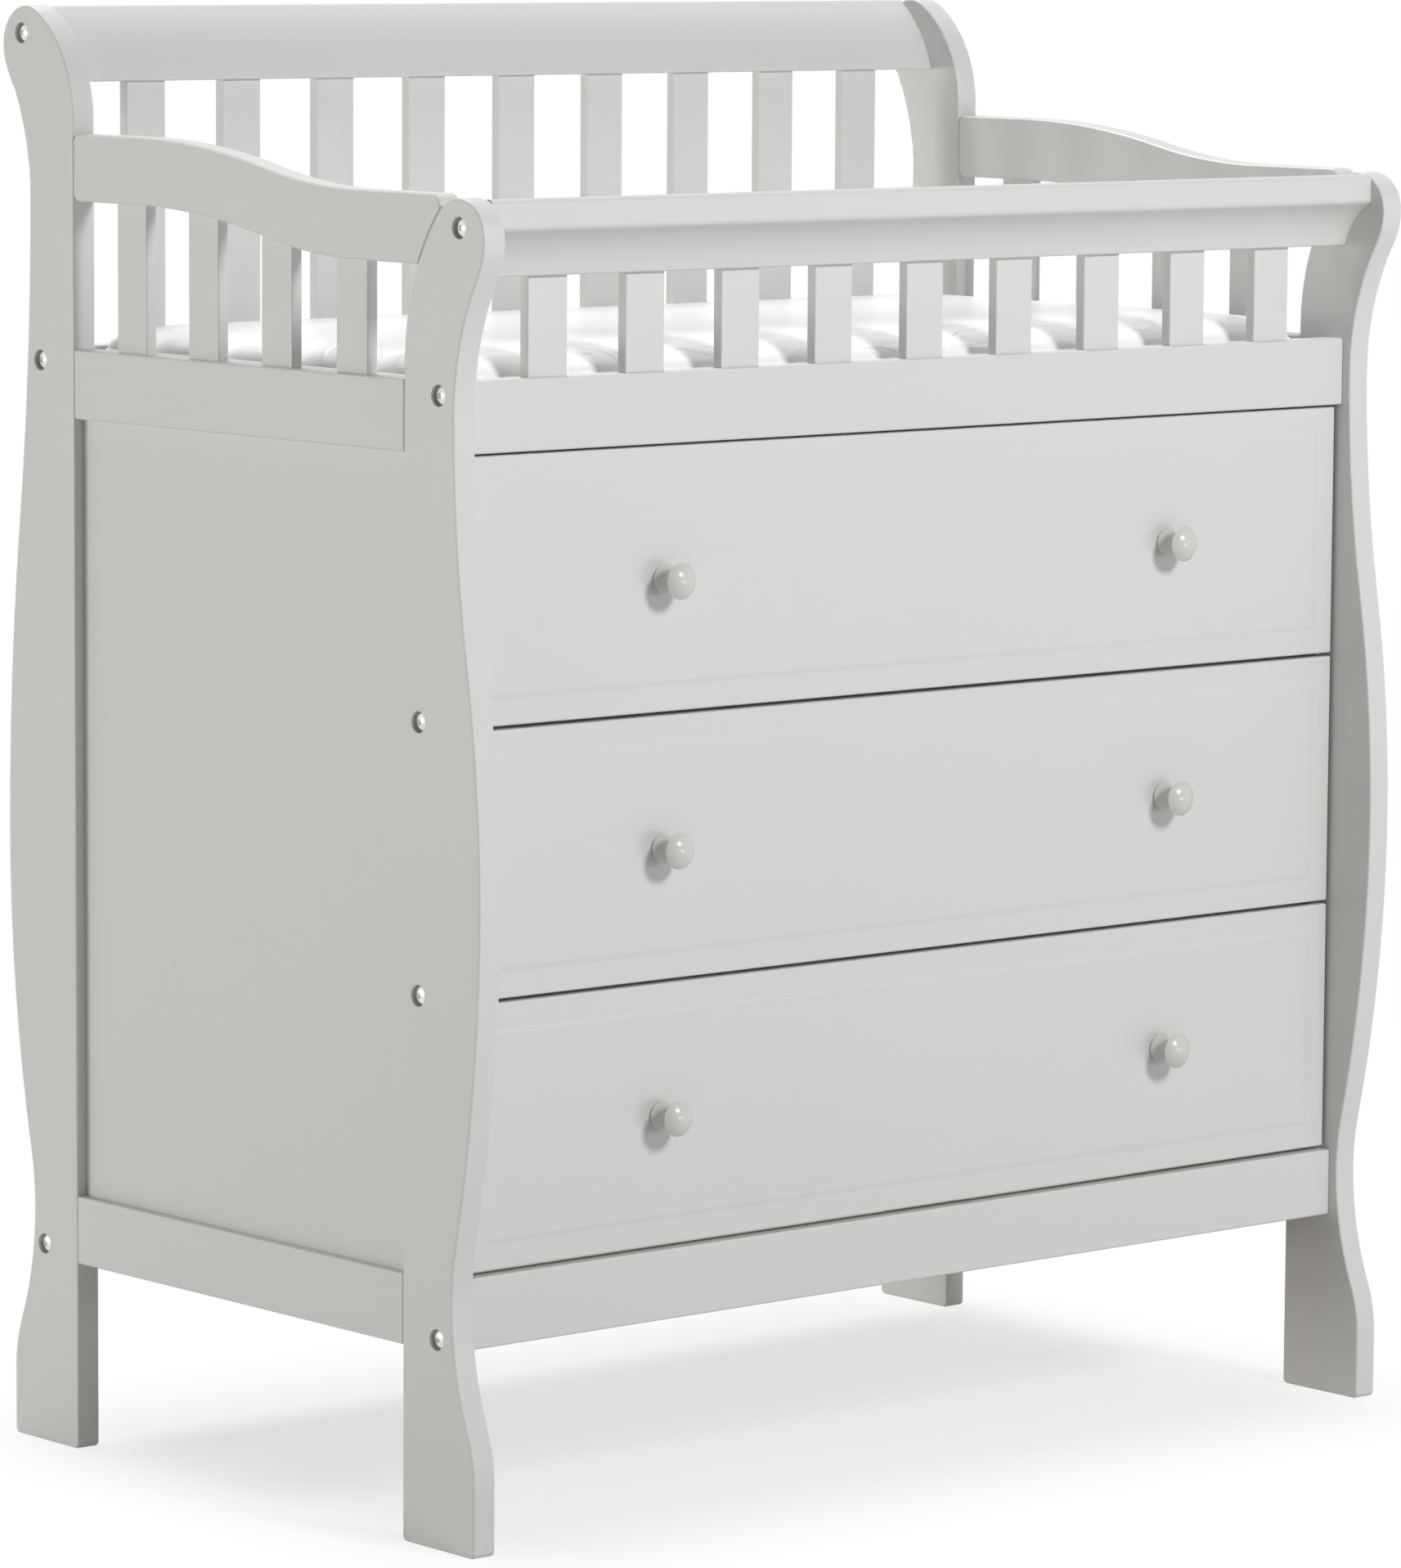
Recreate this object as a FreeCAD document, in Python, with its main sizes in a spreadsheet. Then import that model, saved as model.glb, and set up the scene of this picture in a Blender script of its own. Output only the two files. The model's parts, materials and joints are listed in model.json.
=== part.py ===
import FreeCAD, Part
import math
import os
import re
from FreeCAD import Placement, Rotation, Vector

# A changing dresser. Four S-curved posts carry a carcass of three drawers, and above it a tray with
# slatted galleries on all four sides, in which a soft pad lies on a board.
#
# Millimetres. +Z is up, the drawers open towards -Y, and the origin is on the floor, under the middle.

doc = FreeCAD.newDocument("ChangingDresser")

# ---------------------------------------------------------------- driving sizes

SIZES = [
    # overall
    ("outer_width", 880, "across the outer faces of the posts"),
    ("side_span", 383, "clear length of a side, from front post to rear post"),
    ("gallery_height", 124.5, "front posts' top above the rails round the tray"),
    ("back_rise", 121, "rear posts' top above the front posts'"),
    # posts, whose depths are measured from their straight inner edge
    ("post_thick", 19, "thickness of the boards that make the sides"),
    ("foot_depth", 79, "depth of a foot"),
    ("waist_depth", 54, "narrowest depth, just above the foot"),
    ("belly_depth", 83.5, "widest depth, beside the drawers"),
    ("neck_depth", 54, "narrowest depth, below the scroll"),
    ("nose_depth", 86.5, "depth at the nose of the scroll"),
    ("foot_straight", 50, "height of the straight stretch of a foot"),
    ("waist_height", 174, "height of the waist"),
    ("belly_height", 446, "height of the belly"),
    ("front_neck_drop", 148, "front neck below the front top"),
    ("back_neck_drop", 136, "rear neck below the rear top"),
    ("scroll_radius", 28, "radius of a scroll's nose"),
    ("front_scroll_start", 115, "start of the front inner curve below the front top"),
    ("back_scroll_start", 82, "start of the rear inner curve below the rear top"),
    ("foot_corner", 4, "radius of a foot's two bottom corners"),
    ("waist_share", 0.3, "share of the way from foot to waist where the curve turns over"),
    ("belly_share", 0.15, "the same from waist to belly"),
    ("neck_share", 0.5, "the same from belly to neck"),
    ("nose_share", 0.8, "the same from neck to nose"),
    # rails
    ("rail_height", 50, "height of the straight rails"),
    ("bottom_rail_base", 138, "underside of the bottom rails and the apron"),
    ("tray_rail_base", 755.5, "underside of the rails round the tray"),
    ("rail_thick", 18, "thickness of the front and back rails"),
    ("front_rail_out", 37.5, "middle plane of the front rails outside the posts' straight edge"),
    ("back_rail_out", 41.5, "middle plane of the back rails outside that edge"),
    ("moulding_height", 54, "height of the moulded top rails"),
    ("moulding_top_drop", 1, "top of a moulded rail below its post's top"),
    ("moulding_nose", 26, "overhang of the moulding's nose beyond its foot"),
    ("moulding_lip", 21, "nose's upright band and crown together"),
    ("moulding_crown", 5, "radius of the crown above the nose"),
    ("moulding_lip_round", 5, "rounding of the nose's lower edge"),
    ("moulding_sweep", 99, "radius of the moulding's leaning inner face"),
    ("moulding_cove", 4.5, "depth of the hollow under the nose"),
    ("arm_height", 48, "height of an arm rail"),
    ("arm_front_rise", 2, "top of an arm rail above the front posts' top"),
    ("arm_back_drop", 91, "top of an arm rail below the rear posts' top"),
    ("arm_level_back", 73.5, "level stretch of an arm rail at the rear post"),
    ("arm_bend_length", 260, "length of the arm's bend"),
    ("arm_bend_share", 0.58, "share of the bend that curves downwards"),
    ("arm_front_round", 10, "rounding of the arm's front end over the scroll"),
    ("arm_rear_round", 6, "rounding of the arm's two rear corners"),
    ("arm_chamfer", 1.1, "chamfer of the arm's edges"),
    # slats
    ("slat_width", 35, "width of a slat"),
    ("slat_thick", 9, "thickness of a slat"),
    ("long_slat_count", 9, "slats in the front gallery, and in the back one"),
    ("long_slat_margin", 73, "middle of the outermost front and back slats from the posts"),
    ("side_slat_count", 4, "slats in a side gallery"),
    ("side_slat_margin", 64, "middle of the outermost side slats from the posts"),
    ("mortise_depth", 9, "depth of a slat's mortise"),
    ("fit_gap", 0.2, "clearance of a piece that slips into a groove or mortise"),
    # panels and board
    ("panel_thick", 6, "thickness of a side panel"),
    ("panel_recess", 8, "side panel behind the posts' outer faces"),
    ("groove_depth", 8, "depth of the grooves that hold the panels and the board"),
    ("back_panel_thick", 3, "thickness of the back panel"),
    ("board_thick", 15, "thickness of the board under the pad"),
    ("board_rise", 19.5, "underside of the board above the tray rails' underside"),
    ("divider_thick", 18, "thickness of the rail between two drawers"),
    ("divider_depth", 50, "depth of the rail between two drawers"),
    ("divider_rise", 5.5, "middle of a divider above the gap between the drawer fronts"),
    ("divider_gap", 1, "a divider behind the drawer fronts"),
    # drawers
    ("drawer_count", 3, "drawers"),
    ("front_gap", 2.6, "gap beside and under a drawer front"),
    ("top_gap", 1.6, "gap above the top drawer's front"),
    ("front_face_inset", 4.5, "drawer's raised field behind the front rails' faces"),
    ("front_thick", 15, "thickness of a drawer front at its margin"),
    ("field_rise", 0.6, "height of the raised field above the margin"),
    ("field_margin", 18, "flat margin round the raised field"),
    ("field_slope", 4, "width of the slope up to the raised field"),
    ("box_board", 12, "thickness of a drawer box's sides and back"),
    ("box_height", 145, "height of a drawer box"),
    ("box_rise", 19, "drawer box above the lower edge of its front"),
    ("box_rear_gap", 21, "space between a drawer box and the back panel"),
    ("bottom_thick", 4, "thickness of a drawer's bottom"),
    ("bottom_rise", 10, "drawer's bottom above the lower edge of its box"),
    ("bottom_groove", 5, "depth of the grooves that hold a drawer's bottom"),
    # runners
    ("runner_gap", 12.7, "space for the runners beside a drawer box"),
    ("runner_sheet", 1.2, "sheet metal of the runners"),
    ("channel_height", 26, "height of the runner on the carcass"),
    ("channel_drop", 4, "that runner's underside below the drawer box"),
    ("channel_front_gap", 4.9, "that runner's front end behind the drawer front"),
    ("channel_rear_gap", 14, "that runner's rear end in front of the back panel"),
    ("ledge_width", 10, "part of the drawer's runner that lies under the box"),
    ("roller_radius", 10, "radius of a runner's roller"),
    ("roller_inset", 13, "roller's axis from the end of its runner"),
    ("axle_radius", 3, "radius of a roller's axle"),
    ("roller_chamfer", 0.8, "chamfer of a roller's rims"),
    ("axle_clearance", 0.05, "radial clearance of a roller on its axle"),
    ("running_gap", 0.3, "gap between a roller and what it runs on"),
    ("side_gap", 0.7, "gap between a runner or roller and its neighbour beside it"),
    # knobs
    ("knob_margin", 178, "axis of a knob from the nearer post"),
    ("knob_length", 25.5, "how far a knob stands out"),
    ("knob_foot_radius", 10.5, "radius of a knob's foot"),
    ("knob_foot_height", 2, "height of that foot"),
    ("knob_foot_taper", 0.5, "taper of that foot"),
    ("knob_waist_radius", 7.2, "radius of a knob's neck"),
    ("knob_waist_height", 8, "height of the narrowest place of that neck"),
    ("knob_collar_radius", 8.9, "radius of the collar under a knob's head"),
    ("knob_collar_base", 13.7, "underside of that collar"),
    ("knob_collar_height", 1.2, "height of that collar"),
    ("knob_groove", 0.8, "depth and height of the groove above that collar"),
    ("knob_radius", 13, "radius of a knob's head"),
    ("knob_under_radius", 11.4, "radius of that head half way up its underside"),
    ("knob_crown", 6.2, "height of that head's dome"),
    ("screw_radius", 2, "radius of a knob's screw"),
    ("screw_bite", 13, "length of a knob's screw inside the knob"),
    ("screw_head_radius", 4, "radius of a knob screw's head"),
    ("screw_head_height", 2.4, "height of a knob screw's head"),
    # frame bolts and barrel nuts
    ("bolt_radius", 3, "radius of a frame bolt's shank"),
    ("bolt_length", 50, "length of a frame bolt under its head"),
    ("bolt_head_radius", 6.3, "radius of a frame bolt's head"),
    ("bolt_head_height", 3, "height of a frame bolt's head"),
    ("socket_radius", 2.3, "corner radius of a bolt head's hexagon socket"),
    ("socket_depth", 2, "depth of that socket"),
    ("counterbore_gap", 1.3, "gap round a bolt's head in its counterbore"),
    ("bolt_sink", 1, "top of a bolt's head below the post's face"),
    ("hole_gap", 0.3, "clearance of a bolt or a nut in its hole"),
    ("nut_radius", 5, "radius of a barrel nut"),
    ("nut_length", 11, "length of a barrel nut"),
    ("nut_distance", 26, "barrel nut's axis from the end of its rail"),
    ("nut_hole_length", 60, "drill length of a barrel nut's hole, enough to leave every rail"),
    ("tray_bolt_rise", 40.5, "bolt above the underside of a tray rail"),
    ("bottom_bolt_rise", 9, "bolt above the underside of a bottom rail"),
    ("scroll_bolt_drop", 20, "bolt below the top of a scroll"),
    ("scroll_bolt_out", 22, "that bolt outside the rails' middle plane"),
    ("divider_bolt_inset", 9, "divider's bolt behind its front edge"),
    # soft pad and small roundings
    ("pad_gap", 8, "gap between the pad and the galleries"),
    ("pad_thick", 31, "thickness of the pad at its crown"),
    ("pad_seam_height", 13, "height of the pad's widest line"),
    ("pad_edge_draw", 12, "how far the pad's sides draw in at the bottom and at the shoulder"),
    ("pad_shoulder", 25, "height of the pad's shoulder, where the crown begins"),
    ("pad_crown_width", 96, "width over which the crown rises"),
    ("pad_steps", 3, "steps in each of the pad's three curves"),
    ("pad_corner", 28, "corner radius of the pad"),
    ("pad_lift_gap", 0.3, "pad above the board"),
    ("edge_round", 1.6, "rounding of the boards' edges"),
    ("slat_round", 1.2, "rounding of the slats' edges"),
]

sheet = doc.addObject("Spreadsheet::Sheet", "Sizes")
for row, (alias, number, meaning) in enumerate(SIZES, start=1):
    sheet.set(f"A{row}", alias)
    sheet.set(f"B{row}", str(number))
    sheet.set(f"C{row}", meaning)
    sheet.setAlias(f"B{row}", alias)
doc.recompute()
ALIASES = {alias for alias, number, meaning in SIZES}


def named(expression):
    """Point each size's name in an expression at its cell in the sheet."""
    return re.sub(r"[a-z_]+", lambda word: "Sizes." + word[0] if word[0] in ALIASES else word[0],
                  str(expression))


def value(expression):
    """The number that an expression of sizes comes to."""
    return float(sheet.evalExpression(named(expression)))


def bind(thing, **properties):
    """Tie an object's properties to expressions of the sheet's sizes."""
    for name, expression in properties.items():
        thing.setExpression(name, named(expression))


def place(thing, at, rotation=Rotation()):
    """Put an object at a point given as three expressions."""
    thing.Placement = Placement(Vector(), rotation)
    for axis, expression in zip("xyz", at):
        thing.setExpression("Placement.Base." + axis, named(expression))


# Rotations that point an object's own Z axis along another axis
ALONG = {"x": Rotation(Vector(0, 1, 0), 90), "-x": Rotation(Vector(0, 1, 0), -90),
         "y": Rotation(Vector(1, 0, 0), -90), "-y": Rotation(Vector(1, 0, 0), 90),
         "z": Rotation(), "-z": Rotation(Vector(1, 0, 0), 180)}

# ---------------------------------------------------------------- ways to make a piece

nodes = []

# Two places that are closer than this are the same place
TOUCH = 0.01


def new_body(label, at=(0, 0, 0), rotation=Rotation(), keep=True):
    """An empty piece; one that isn't kept becomes part of a group."""
    body = doc.addObject("PartDesign::Body", label)
    body.Label = label
    place(body, at, rotation)
    if keep:
        nodes.append(body)
    return body


def group(label, members):
    """One node that holds several separate solids."""
    compound = doc.addObject("Part::Compound", label)
    compound.Label = label
    compound.Links = members
    nodes.append(compound)
    return compound


def add_box(body, kind, name, size, at):
    box = body.newObject(kind, name)
    bind(box, Length=size[0], Width=size[1], Height=size[2])
    place(box, at)
    return box


def cut_box(body, name, size, at):
    return add_box(body, "PartDesign::SubtractiveBox", name, size, at)


def cut_round(body, name, radius, depth, at, along):
    """Drill a round hole from a point along an axis."""
    drill = body.newObject("PartDesign::SubtractiveCylinder", name)
    bind(drill, Radius=radius, Height=depth)
    place(drill, at, ALONG[along])
    return drill


def soften(body, feature, size, picked=lambda edge: True, chamfer=False):
    """Round or chamfer the picked edges of a feature."""
    doc.recompute()
    names = [f"Edge{number}" for number, edge in enumerate(feature.Shape.Edges, start=1) if picked(edge)]
    softened = body.newObject("PartDesign::Chamfer" if chamfer else "PartDesign::Fillet", "Softened")
    softened.Base = (feature, names)
    bind(softened, **{"Size" if chamfer else "Radius": size})
    return softened


def is_outline_edge(edge):
    """Whether an edge lies in one of the two broad faces of a piece cut from a board along Y and Z."""
    return edge.BoundBox.XLength < TOUCH


def board(label, size, at, rounding="edge_round", keep=True):
    """A straight board from its length, width and height and its low corner."""
    body = new_body(label, at, keep=keep)
    block = add_box(body, "PartDesign::AdditiveBox", "Board", size, (0, 0, 0))
    if rounding:
        soften(body, block, rounding)
    return body


def origin_plane(body, role):
    return next(feature for feature in body.Origin.OriginFeatures if feature.Role == role)


def draw(body, role, curves, lift=0, name="Outline"):
    """A sketch of the given curves on one of the body's own origin planes."""
    sketch = body.newObject("Sketcher::SketchObject", name)
    sketch.AttachmentSupport = (origin_plane(body, role), [""])
    sketch.MapMode = "FlatFace"
    sketch.AttachmentOffset = Placement(Vector(0, 0, value(lift)), Rotation())
    sketch.addGeometry(curves, False)
    return sketch


def pad(body, sketch, length, backwards=False):
    feature = body.newObject("PartDesign::Pad", "Pad")
    feature.Profile = sketch
    feature.Reversed = backwards
    bind(feature, Length=length)
    sketch.Visibility = False
    return feature


def turn(label, curves, at, rotation):
    """A turned piece: a profile of radius and height, spun about the piece's own Z axis."""
    body = new_body(label, at, rotation, keep=False)
    sketch = draw(body, "XZ_Plane", curves)
    spin = body.newObject("PartDesign::Revolution", "Turning")
    spin.Profile = sketch
    spin.ReferenceAxis = (sketch, ["V_Axis"])
    spin.Angle = 360
    doc.recompute()
    return body


class Outline:
    """A closed outline of lines and arcs, drawn point after point."""

    def __init__(self, across, up):
        self.start = self.pen = Vector(across, up, 0)
        self.curves = []

    def line(self, across, up):
        end = Vector(across, up, 0)
        self.curves.append(Part.LineSegment(self.pen, end))
        self.pen = end
        return self

    def arc(self, middle, end):
        end = Vector(*end, 0)
        self.curves.append(Part.Arc(self.pen, Vector(*middle, 0), end))
        self.pen = end
        return self

    def arc_about(self, centre, end):
        """The shorter arc about a centre from the pen to an end."""
        middle = Vector(*centre, 0)
        end = Vector(*end, 0)
        outward = ((self.pen - middle).normalize() + (end - middle).normalize()).normalize()
        top = middle + outward * (self.pen - middle).Length
        return self.arc((top.x, top.y), (end.x, end.y))

    def ogee(self, across, up, share, upright=True):
        """Two arcs that leave and arrive upright, or level, and meet at a share of the way."""
        start = self.pen
        whole = Vector(across, up, 0) - start
        meet = start + whole * share
        side = whole.x if upright else whole.y
        sweep = whole.Length ** 2 / (2 * abs(side))
        step = Vector(math.copysign(1, side), 0, 0) if upright else Vector(0, math.copysign(1, side), 0)
        first = start + step * (sweep * share)
        last = start + whole - step * (sweep * (1 - share))
        self.arc_about((first.x, first.y), (meet.x, meet.y))
        return self.arc_about((last.x, last.y), (across, up))

    def close(self):
        return self.line(self.start.x, self.start.y).curves


# ---------------------------------------------------------------- places that several pieces share

SIDES = (("left", -1), ("right", 1))
front_top = "(tray_rail_base + rail_height + gallery_height)"
back_top = f"({front_top} + back_rise)"
POST_TOPS = {"front": front_top, "back": back_top}
arm_low = f"({front_top} + arm_front_rise)"
arm_high = f"({back_top} - arm_back_drop)"
inner_x = "(outer_width / 2 - post_thick)"
between = "(outer_width - 2 * post_thick)"
half_span = "(side_span / 2)"
front_plane = f"({half_span} + front_rail_out)"
back_plane = f"({half_span} + back_rail_out)"
back_panel_y = f"({back_plane} - rail_thick / 2 - back_panel_thick)"
bottom_rail_top = "(bottom_rail_base + rail_height)"
tray_rail_top = "(tray_rail_base + rail_height)"
board_base = "(tray_rail_base + board_rise)"
front_top_rail_base = f"({front_top} - moulding_top_drop - moulding_height)"
back_top_rail_base = f"({back_top} - moulding_top_drop - moulding_height)"

field_y = f"(-{front_plane} - rail_thick / 2 + front_face_inset)"
margin_y = f"({field_y} + field_rise)"
front_back_y = f"({margin_y} + front_thick)"
opening_height = f"(tray_rail_base - {bottom_rail_top})"
front_height = f"(({opening_height} - top_gap - drawer_count * front_gap) / drawer_count)"
divider_y = f"({front_back_y} + divider_gap)"
box_end = f"({back_panel_y} - box_rear_gap)"


def front_base(drawer):
    """Lower edge of a drawer front, where drawer 1 is the top one."""
    return f"({bottom_rail_top} + front_gap + (drawer_count - {drawer}) * ({front_height} + front_gap))"


def divider_middle(drawer):
    """Middle height of the divider under a drawer."""
    return f"({front_base(drawer)} - front_gap / 2 + divider_rise)"


# Each frame bolt: distance in front of (-) or behind the centre, height, and the way its barrel nut faces
FRAME_BOLTS = {
    "front_top_rail": (f"(-{front_plane} - scroll_bolt_out)", f"({front_top} - scroll_bolt_drop)", "y"),
    "front_lower_rail": (f"(-{front_plane})", "(tray_rail_base + tray_bolt_rise)", "y"),
    "front_apron": (f"(-{front_plane})", "(bottom_rail_base + bottom_bolt_rise)", "y"),
    "upper_divider": (f"({divider_y} + divider_bolt_inset)", divider_middle(1), "-z"),
    "lower_divider": (f"({divider_y} + divider_bolt_inset)", divider_middle(2), "-z"),
    "back_top_rail": (f"({back_plane} + scroll_bolt_out)", f"({back_top} - scroll_bolt_drop)", "y"),
    "back_lower_rail": (back_plane, "(tray_rail_base + tray_bolt_rise)", "-y"),
    "back_bottom_rail": (back_plane, "(bottom_rail_base + bottom_bolt_rise)", "-y"),
}
BOLTS_IN_POST = {
    "front": ("front_top_rail", "front_lower_rail", "front_apron", "upper_divider", "lower_divider"),
    "back": ("back_top_rail", "back_lower_rail", "back_bottom_rail"),
}
counterbore_depth = "(bolt_head_height + bolt_sink)"


# ---------------------------------------------------------------- posts

def inner_scroll_radius(end):
    """Radius of the inner curve that runs into the nose's circle without a corner."""
    nose = value("scroll_radius")
    depth = value("nose_depth") - nose
    drop = value(f"{end}_scroll_start") - nose
    return (depth ** 2 + drop ** 2 - nose ** 2) / (2 * (depth - nose))


def post_outline(end, way):
    """A post's outline; way is -1 at the front, where outwards is -Y, and 1 at the back."""
    edge = value(half_span)
    top = value(POST_TOPS[end])
    nose = value("scroll_radius")
    corner = value("foot_corner")

    def out(depth):
        return way * (edge + depth)

    nose_centre = (out(value("nose_depth") - nose), top - nose)
    curve_radius = inner_scroll_radius(end)
    curve_centre = (out(curve_radius), top - value(f"{end}_scroll_start"))
    lean = Vector(nose_centre[0] - curve_centre[0], nose_centre[1] - curve_centre[1], 0).normalize()
    join = (curve_centre[0] + lean.x * curve_radius, curve_centre[1] + lean.y * curve_radius)

    foot = value("foot_depth")
    outline = Outline(out(corner), 0)
    outline.line(out(foot - corner), 0)
    outline.arc_about((out(foot - corner), corner), (out(foot), corner))
    outline.line(out(foot), value("foot_straight"))
    outline.ogee(out(value("waist_depth")), value("waist_height"), value("waist_share"))
    outline.ogee(out(value("belly_depth")), value("belly_height"), value("belly_share"))
    outline.ogee(out(value("neck_depth")), top - value(f"{end}_neck_drop"), value("neck_share"))
    outline.ogee(out(value("nose_depth")), top - nose, value("nose_share"))
    outline.arc_about(nose_centre, (nose_centre[0], top))
    outline.arc_about(nose_centre, join)
    outline.arc_about(curve_centre, (out(0), curve_centre[1]))
    outline.line(out(0), corner)
    outline.arc_about((out(corner), corner), (out(corner), 0))
    return outline.curves


def make_post(side, sign, end, way):
    """A post on its outline, with its bolt holes and the groove for the side panel."""
    body = new_body(f"{side}_{end}_post", (f"{sign} * {inner_x}", 0, 0))
    sketch = draw(body, "YZ_Plane", post_outline(end, way))
    slab = pad(body, sketch, "post_thick", backwards=sign < 0)
    soften(body, slab, "edge_round", is_outline_edge)
    inwards = "x" if sign < 0 else "-x"
    for rail in BOLTS_IN_POST[end]:
        along, height, nut_way = FRAME_BOLTS[rail]
        outer_face = (f"{sign} * post_thick", along, height)
        cut_round(body, "Counterbore", "bolt_head_radius + counterbore_gap", counterbore_depth,
                  outer_face, inwards)
        cut_round(body, "BoltHole", "bolt_radius + hole_gap", "post_thick", outer_face, inwards)
    groove_start = f"{sign} * (post_thick - panel_recess)"
    low_x = f"{groove_start} - panel_thick - fit_gap" if sign > 0 else f"{groove_start} - fit_gap"
    low_y = half_span if way > 0 else f"-{half_span} - groove_depth"
    cut_box(body, "PanelGroove",
            ("panel_thick + 2 * fit_gap", "groove_depth",
             f"tray_rail_base - {bottom_rail_top} + 2 * groove_depth"),
            (low_x, low_y, f"{bottom_rail_top} - groove_depth"))
    return body


for side, sign in SIDES:
    make_post(side, sign, "front", -1)
    make_post(side, sign, "back", 1)

# ---------------------------------------------------------------- side rails, panels, arms and slats


def side_slat_start(index):
    """Front edge of a side slat, from the centre."""
    pitch = "(side_span - 2 * side_slat_margin) / (side_slat_count - 1)"
    return f"(({index} - (side_slat_count - 1) / 2) * {pitch} - slat_width / 2)"


def arm_bend():
    """The arm rail's bend: where it starts, where it ends, and its rise."""
    back = value(f"{half_span} - arm_level_back")
    return back, back - value("arm_bend_length"), value(f"{arm_high} - {arm_low}")


def arm_outline():
    """A side view of the arm rail: level, a bend down, level again, and an end shaped to the scroll."""
    rear = value(half_span)
    low = value(arm_low)
    height = value("arm_height")
    bend_back, bend_front, rise = arm_bend()
    high = low + rise
    share = value("arm_bend_share")
    heel = value("arm_rear_round")
    corner = value("arm_front_round")
    radius = inner_scroll_radius("front")
    centre = (-(rear + radius), value(f"{front_top} - front_scroll_start"))

    def scroll(up):
        """The scroll's inner curve at a height."""
        return centre[0] + math.sqrt(radius ** 2 - (up - centre[1]) ** 2)

    tip = (scroll(low - corner), low - corner)
    outline = Outline(rear - heel, high - height)
    outline.arc_about((rear - heel, high - height + heel), (rear, high - height + heel))
    outline.line(rear, high - heel)
    outline.arc_about((rear - heel, high - heel), (rear - heel, high))
    outline.line(bend_back, high)
    outline.ogee(bend_front, low, share, upright=False)
    outline.line(tip[0] + corner, low)
    outline.arc_about((tip[0] + corner, low - corner), tip)
    outline.arc_about(centre, (scroll(low - height), low - height))
    outline.line(bend_front, low - height)
    outline.ogee(bend_back, high - height, 1 - share, upright=False)
    return outline.close()


def arm_underside(along):
    """Height of the arm rail's underside at a distance behind the centre."""
    back, front, rise = arm_bend()
    low = value(f"{arm_low} - arm_height")
    if along >= back:
        return low + rise
    if along <= front:
        return low
    share = value("arm_bend_share")
    sweep = ((back - front) ** 2 + rise ** 2) / (2 * rise)
    if along > back - share * (back - front):
        radius = sweep * share
        return low + rise - radius + math.copysign(math.sqrt(radius ** 2 - (back - along) ** 2), rise)
    radius = sweep * (1 - share)
    return low + radius - math.copysign(math.sqrt(radius ** 2 - (along - front) ** 2), rise)


def make_side(side, sign):
    """Everything that joins the two posts of one side."""
    low_x = "-outer_width / 2" if sign < 0 else inner_x
    groove_x = ("panel_recess - fit_gap" if sign < 0
                else "post_thick - panel_recess - panel_thick - fit_gap")
    slat_x = "(post_thick - slat_thick) / 2"
    mortise = ("slat_thick + 2 * fit_gap", "slat_width + 2 * fit_gap")
    slat_indices = range(round(value("side_slat_count")))

    bottom = board(f"{side}_bottom_rail", ("post_thick", "side_span", "rail_height"),
                   (low_x, f"-{half_span}", "bottom_rail_base"))
    cut_box(bottom, "PanelGroove", ("panel_thick + 2 * fit_gap", "side_span", "groove_depth"),
            (groove_x, 0, "rail_height - groove_depth"))

    tray = board(f"{side}_tray_rail", ("post_thick", "side_span", "rail_height"),
                 (low_x, f"-{half_span}", "tray_rail_base"))
    cut_box(tray, "PanelGroove", ("panel_thick + 2 * fit_gap", "side_span", "groove_depth"),
            (groove_x, 0, 0))
    for index in slat_indices:
        cut_box(tray, f"Mortise{index + 1}", (*mortise, "mortise_depth"),
                (f"{slat_x} - fit_gap", f"{half_span} + {side_slat_start(index)} - fit_gap",
                 "rail_height - mortise_depth"))

    panel_x = "-outer_width / 2 + panel_recess" if sign < 0 else "outer_width / 2 - panel_recess - panel_thick"
    board(f"{side}_side_panel",
          ("panel_thick", "side_span + 2 * (groove_depth - fit_gap)",
           f"tray_rail_base - {bottom_rail_top} + 2 * (groove_depth - fit_gap)"),
          (panel_x, f"-{half_span} - groove_depth + fit_gap", f"{bottom_rail_top} - groove_depth + fit_gap"),
          rounding=None)

    arm = new_body(f"{side}_arm_rail", (low_x, 0, 0))
    slab = pad(arm, draw(arm, "YZ_Plane", arm_outline()), "post_thick")
    soften(arm, slab, "arm_chamfer", is_outline_edge, chamfer=True)

    slats = []
    for index in slat_indices:
        start = side_slat_start(index)
        top = arm_underside(value(f"{start} + slat_width / 2")) + value("mortise_depth")
        pocket_base = value(f"{arm_low} - arm_height - mortise_depth")
        cut_box(arm, f"Mortise{index + 1}", (*mortise, f"{top} + fit_gap - {pocket_base}"),
                (f"{slat_x} - fit_gap", f"{start} - fit_gap", pocket_base))
        slats.append(board(f"{side}_slat_{index + 1}",
                           ("slat_thick", "slat_width", f"{top} - {tray_rail_top} + mortise_depth - fit_gap"),
                           (f"{low_x} + {slat_x}", start, f"{tray_rail_top} - mortise_depth + fit_gap"),
                           rounding="slat_round", keep=False))
    group(f"{side}_side_slats", slats)


for side, sign in SIDES:
    make_side(side, sign)

# ---------------------------------------------------------------- front and back rails


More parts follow.
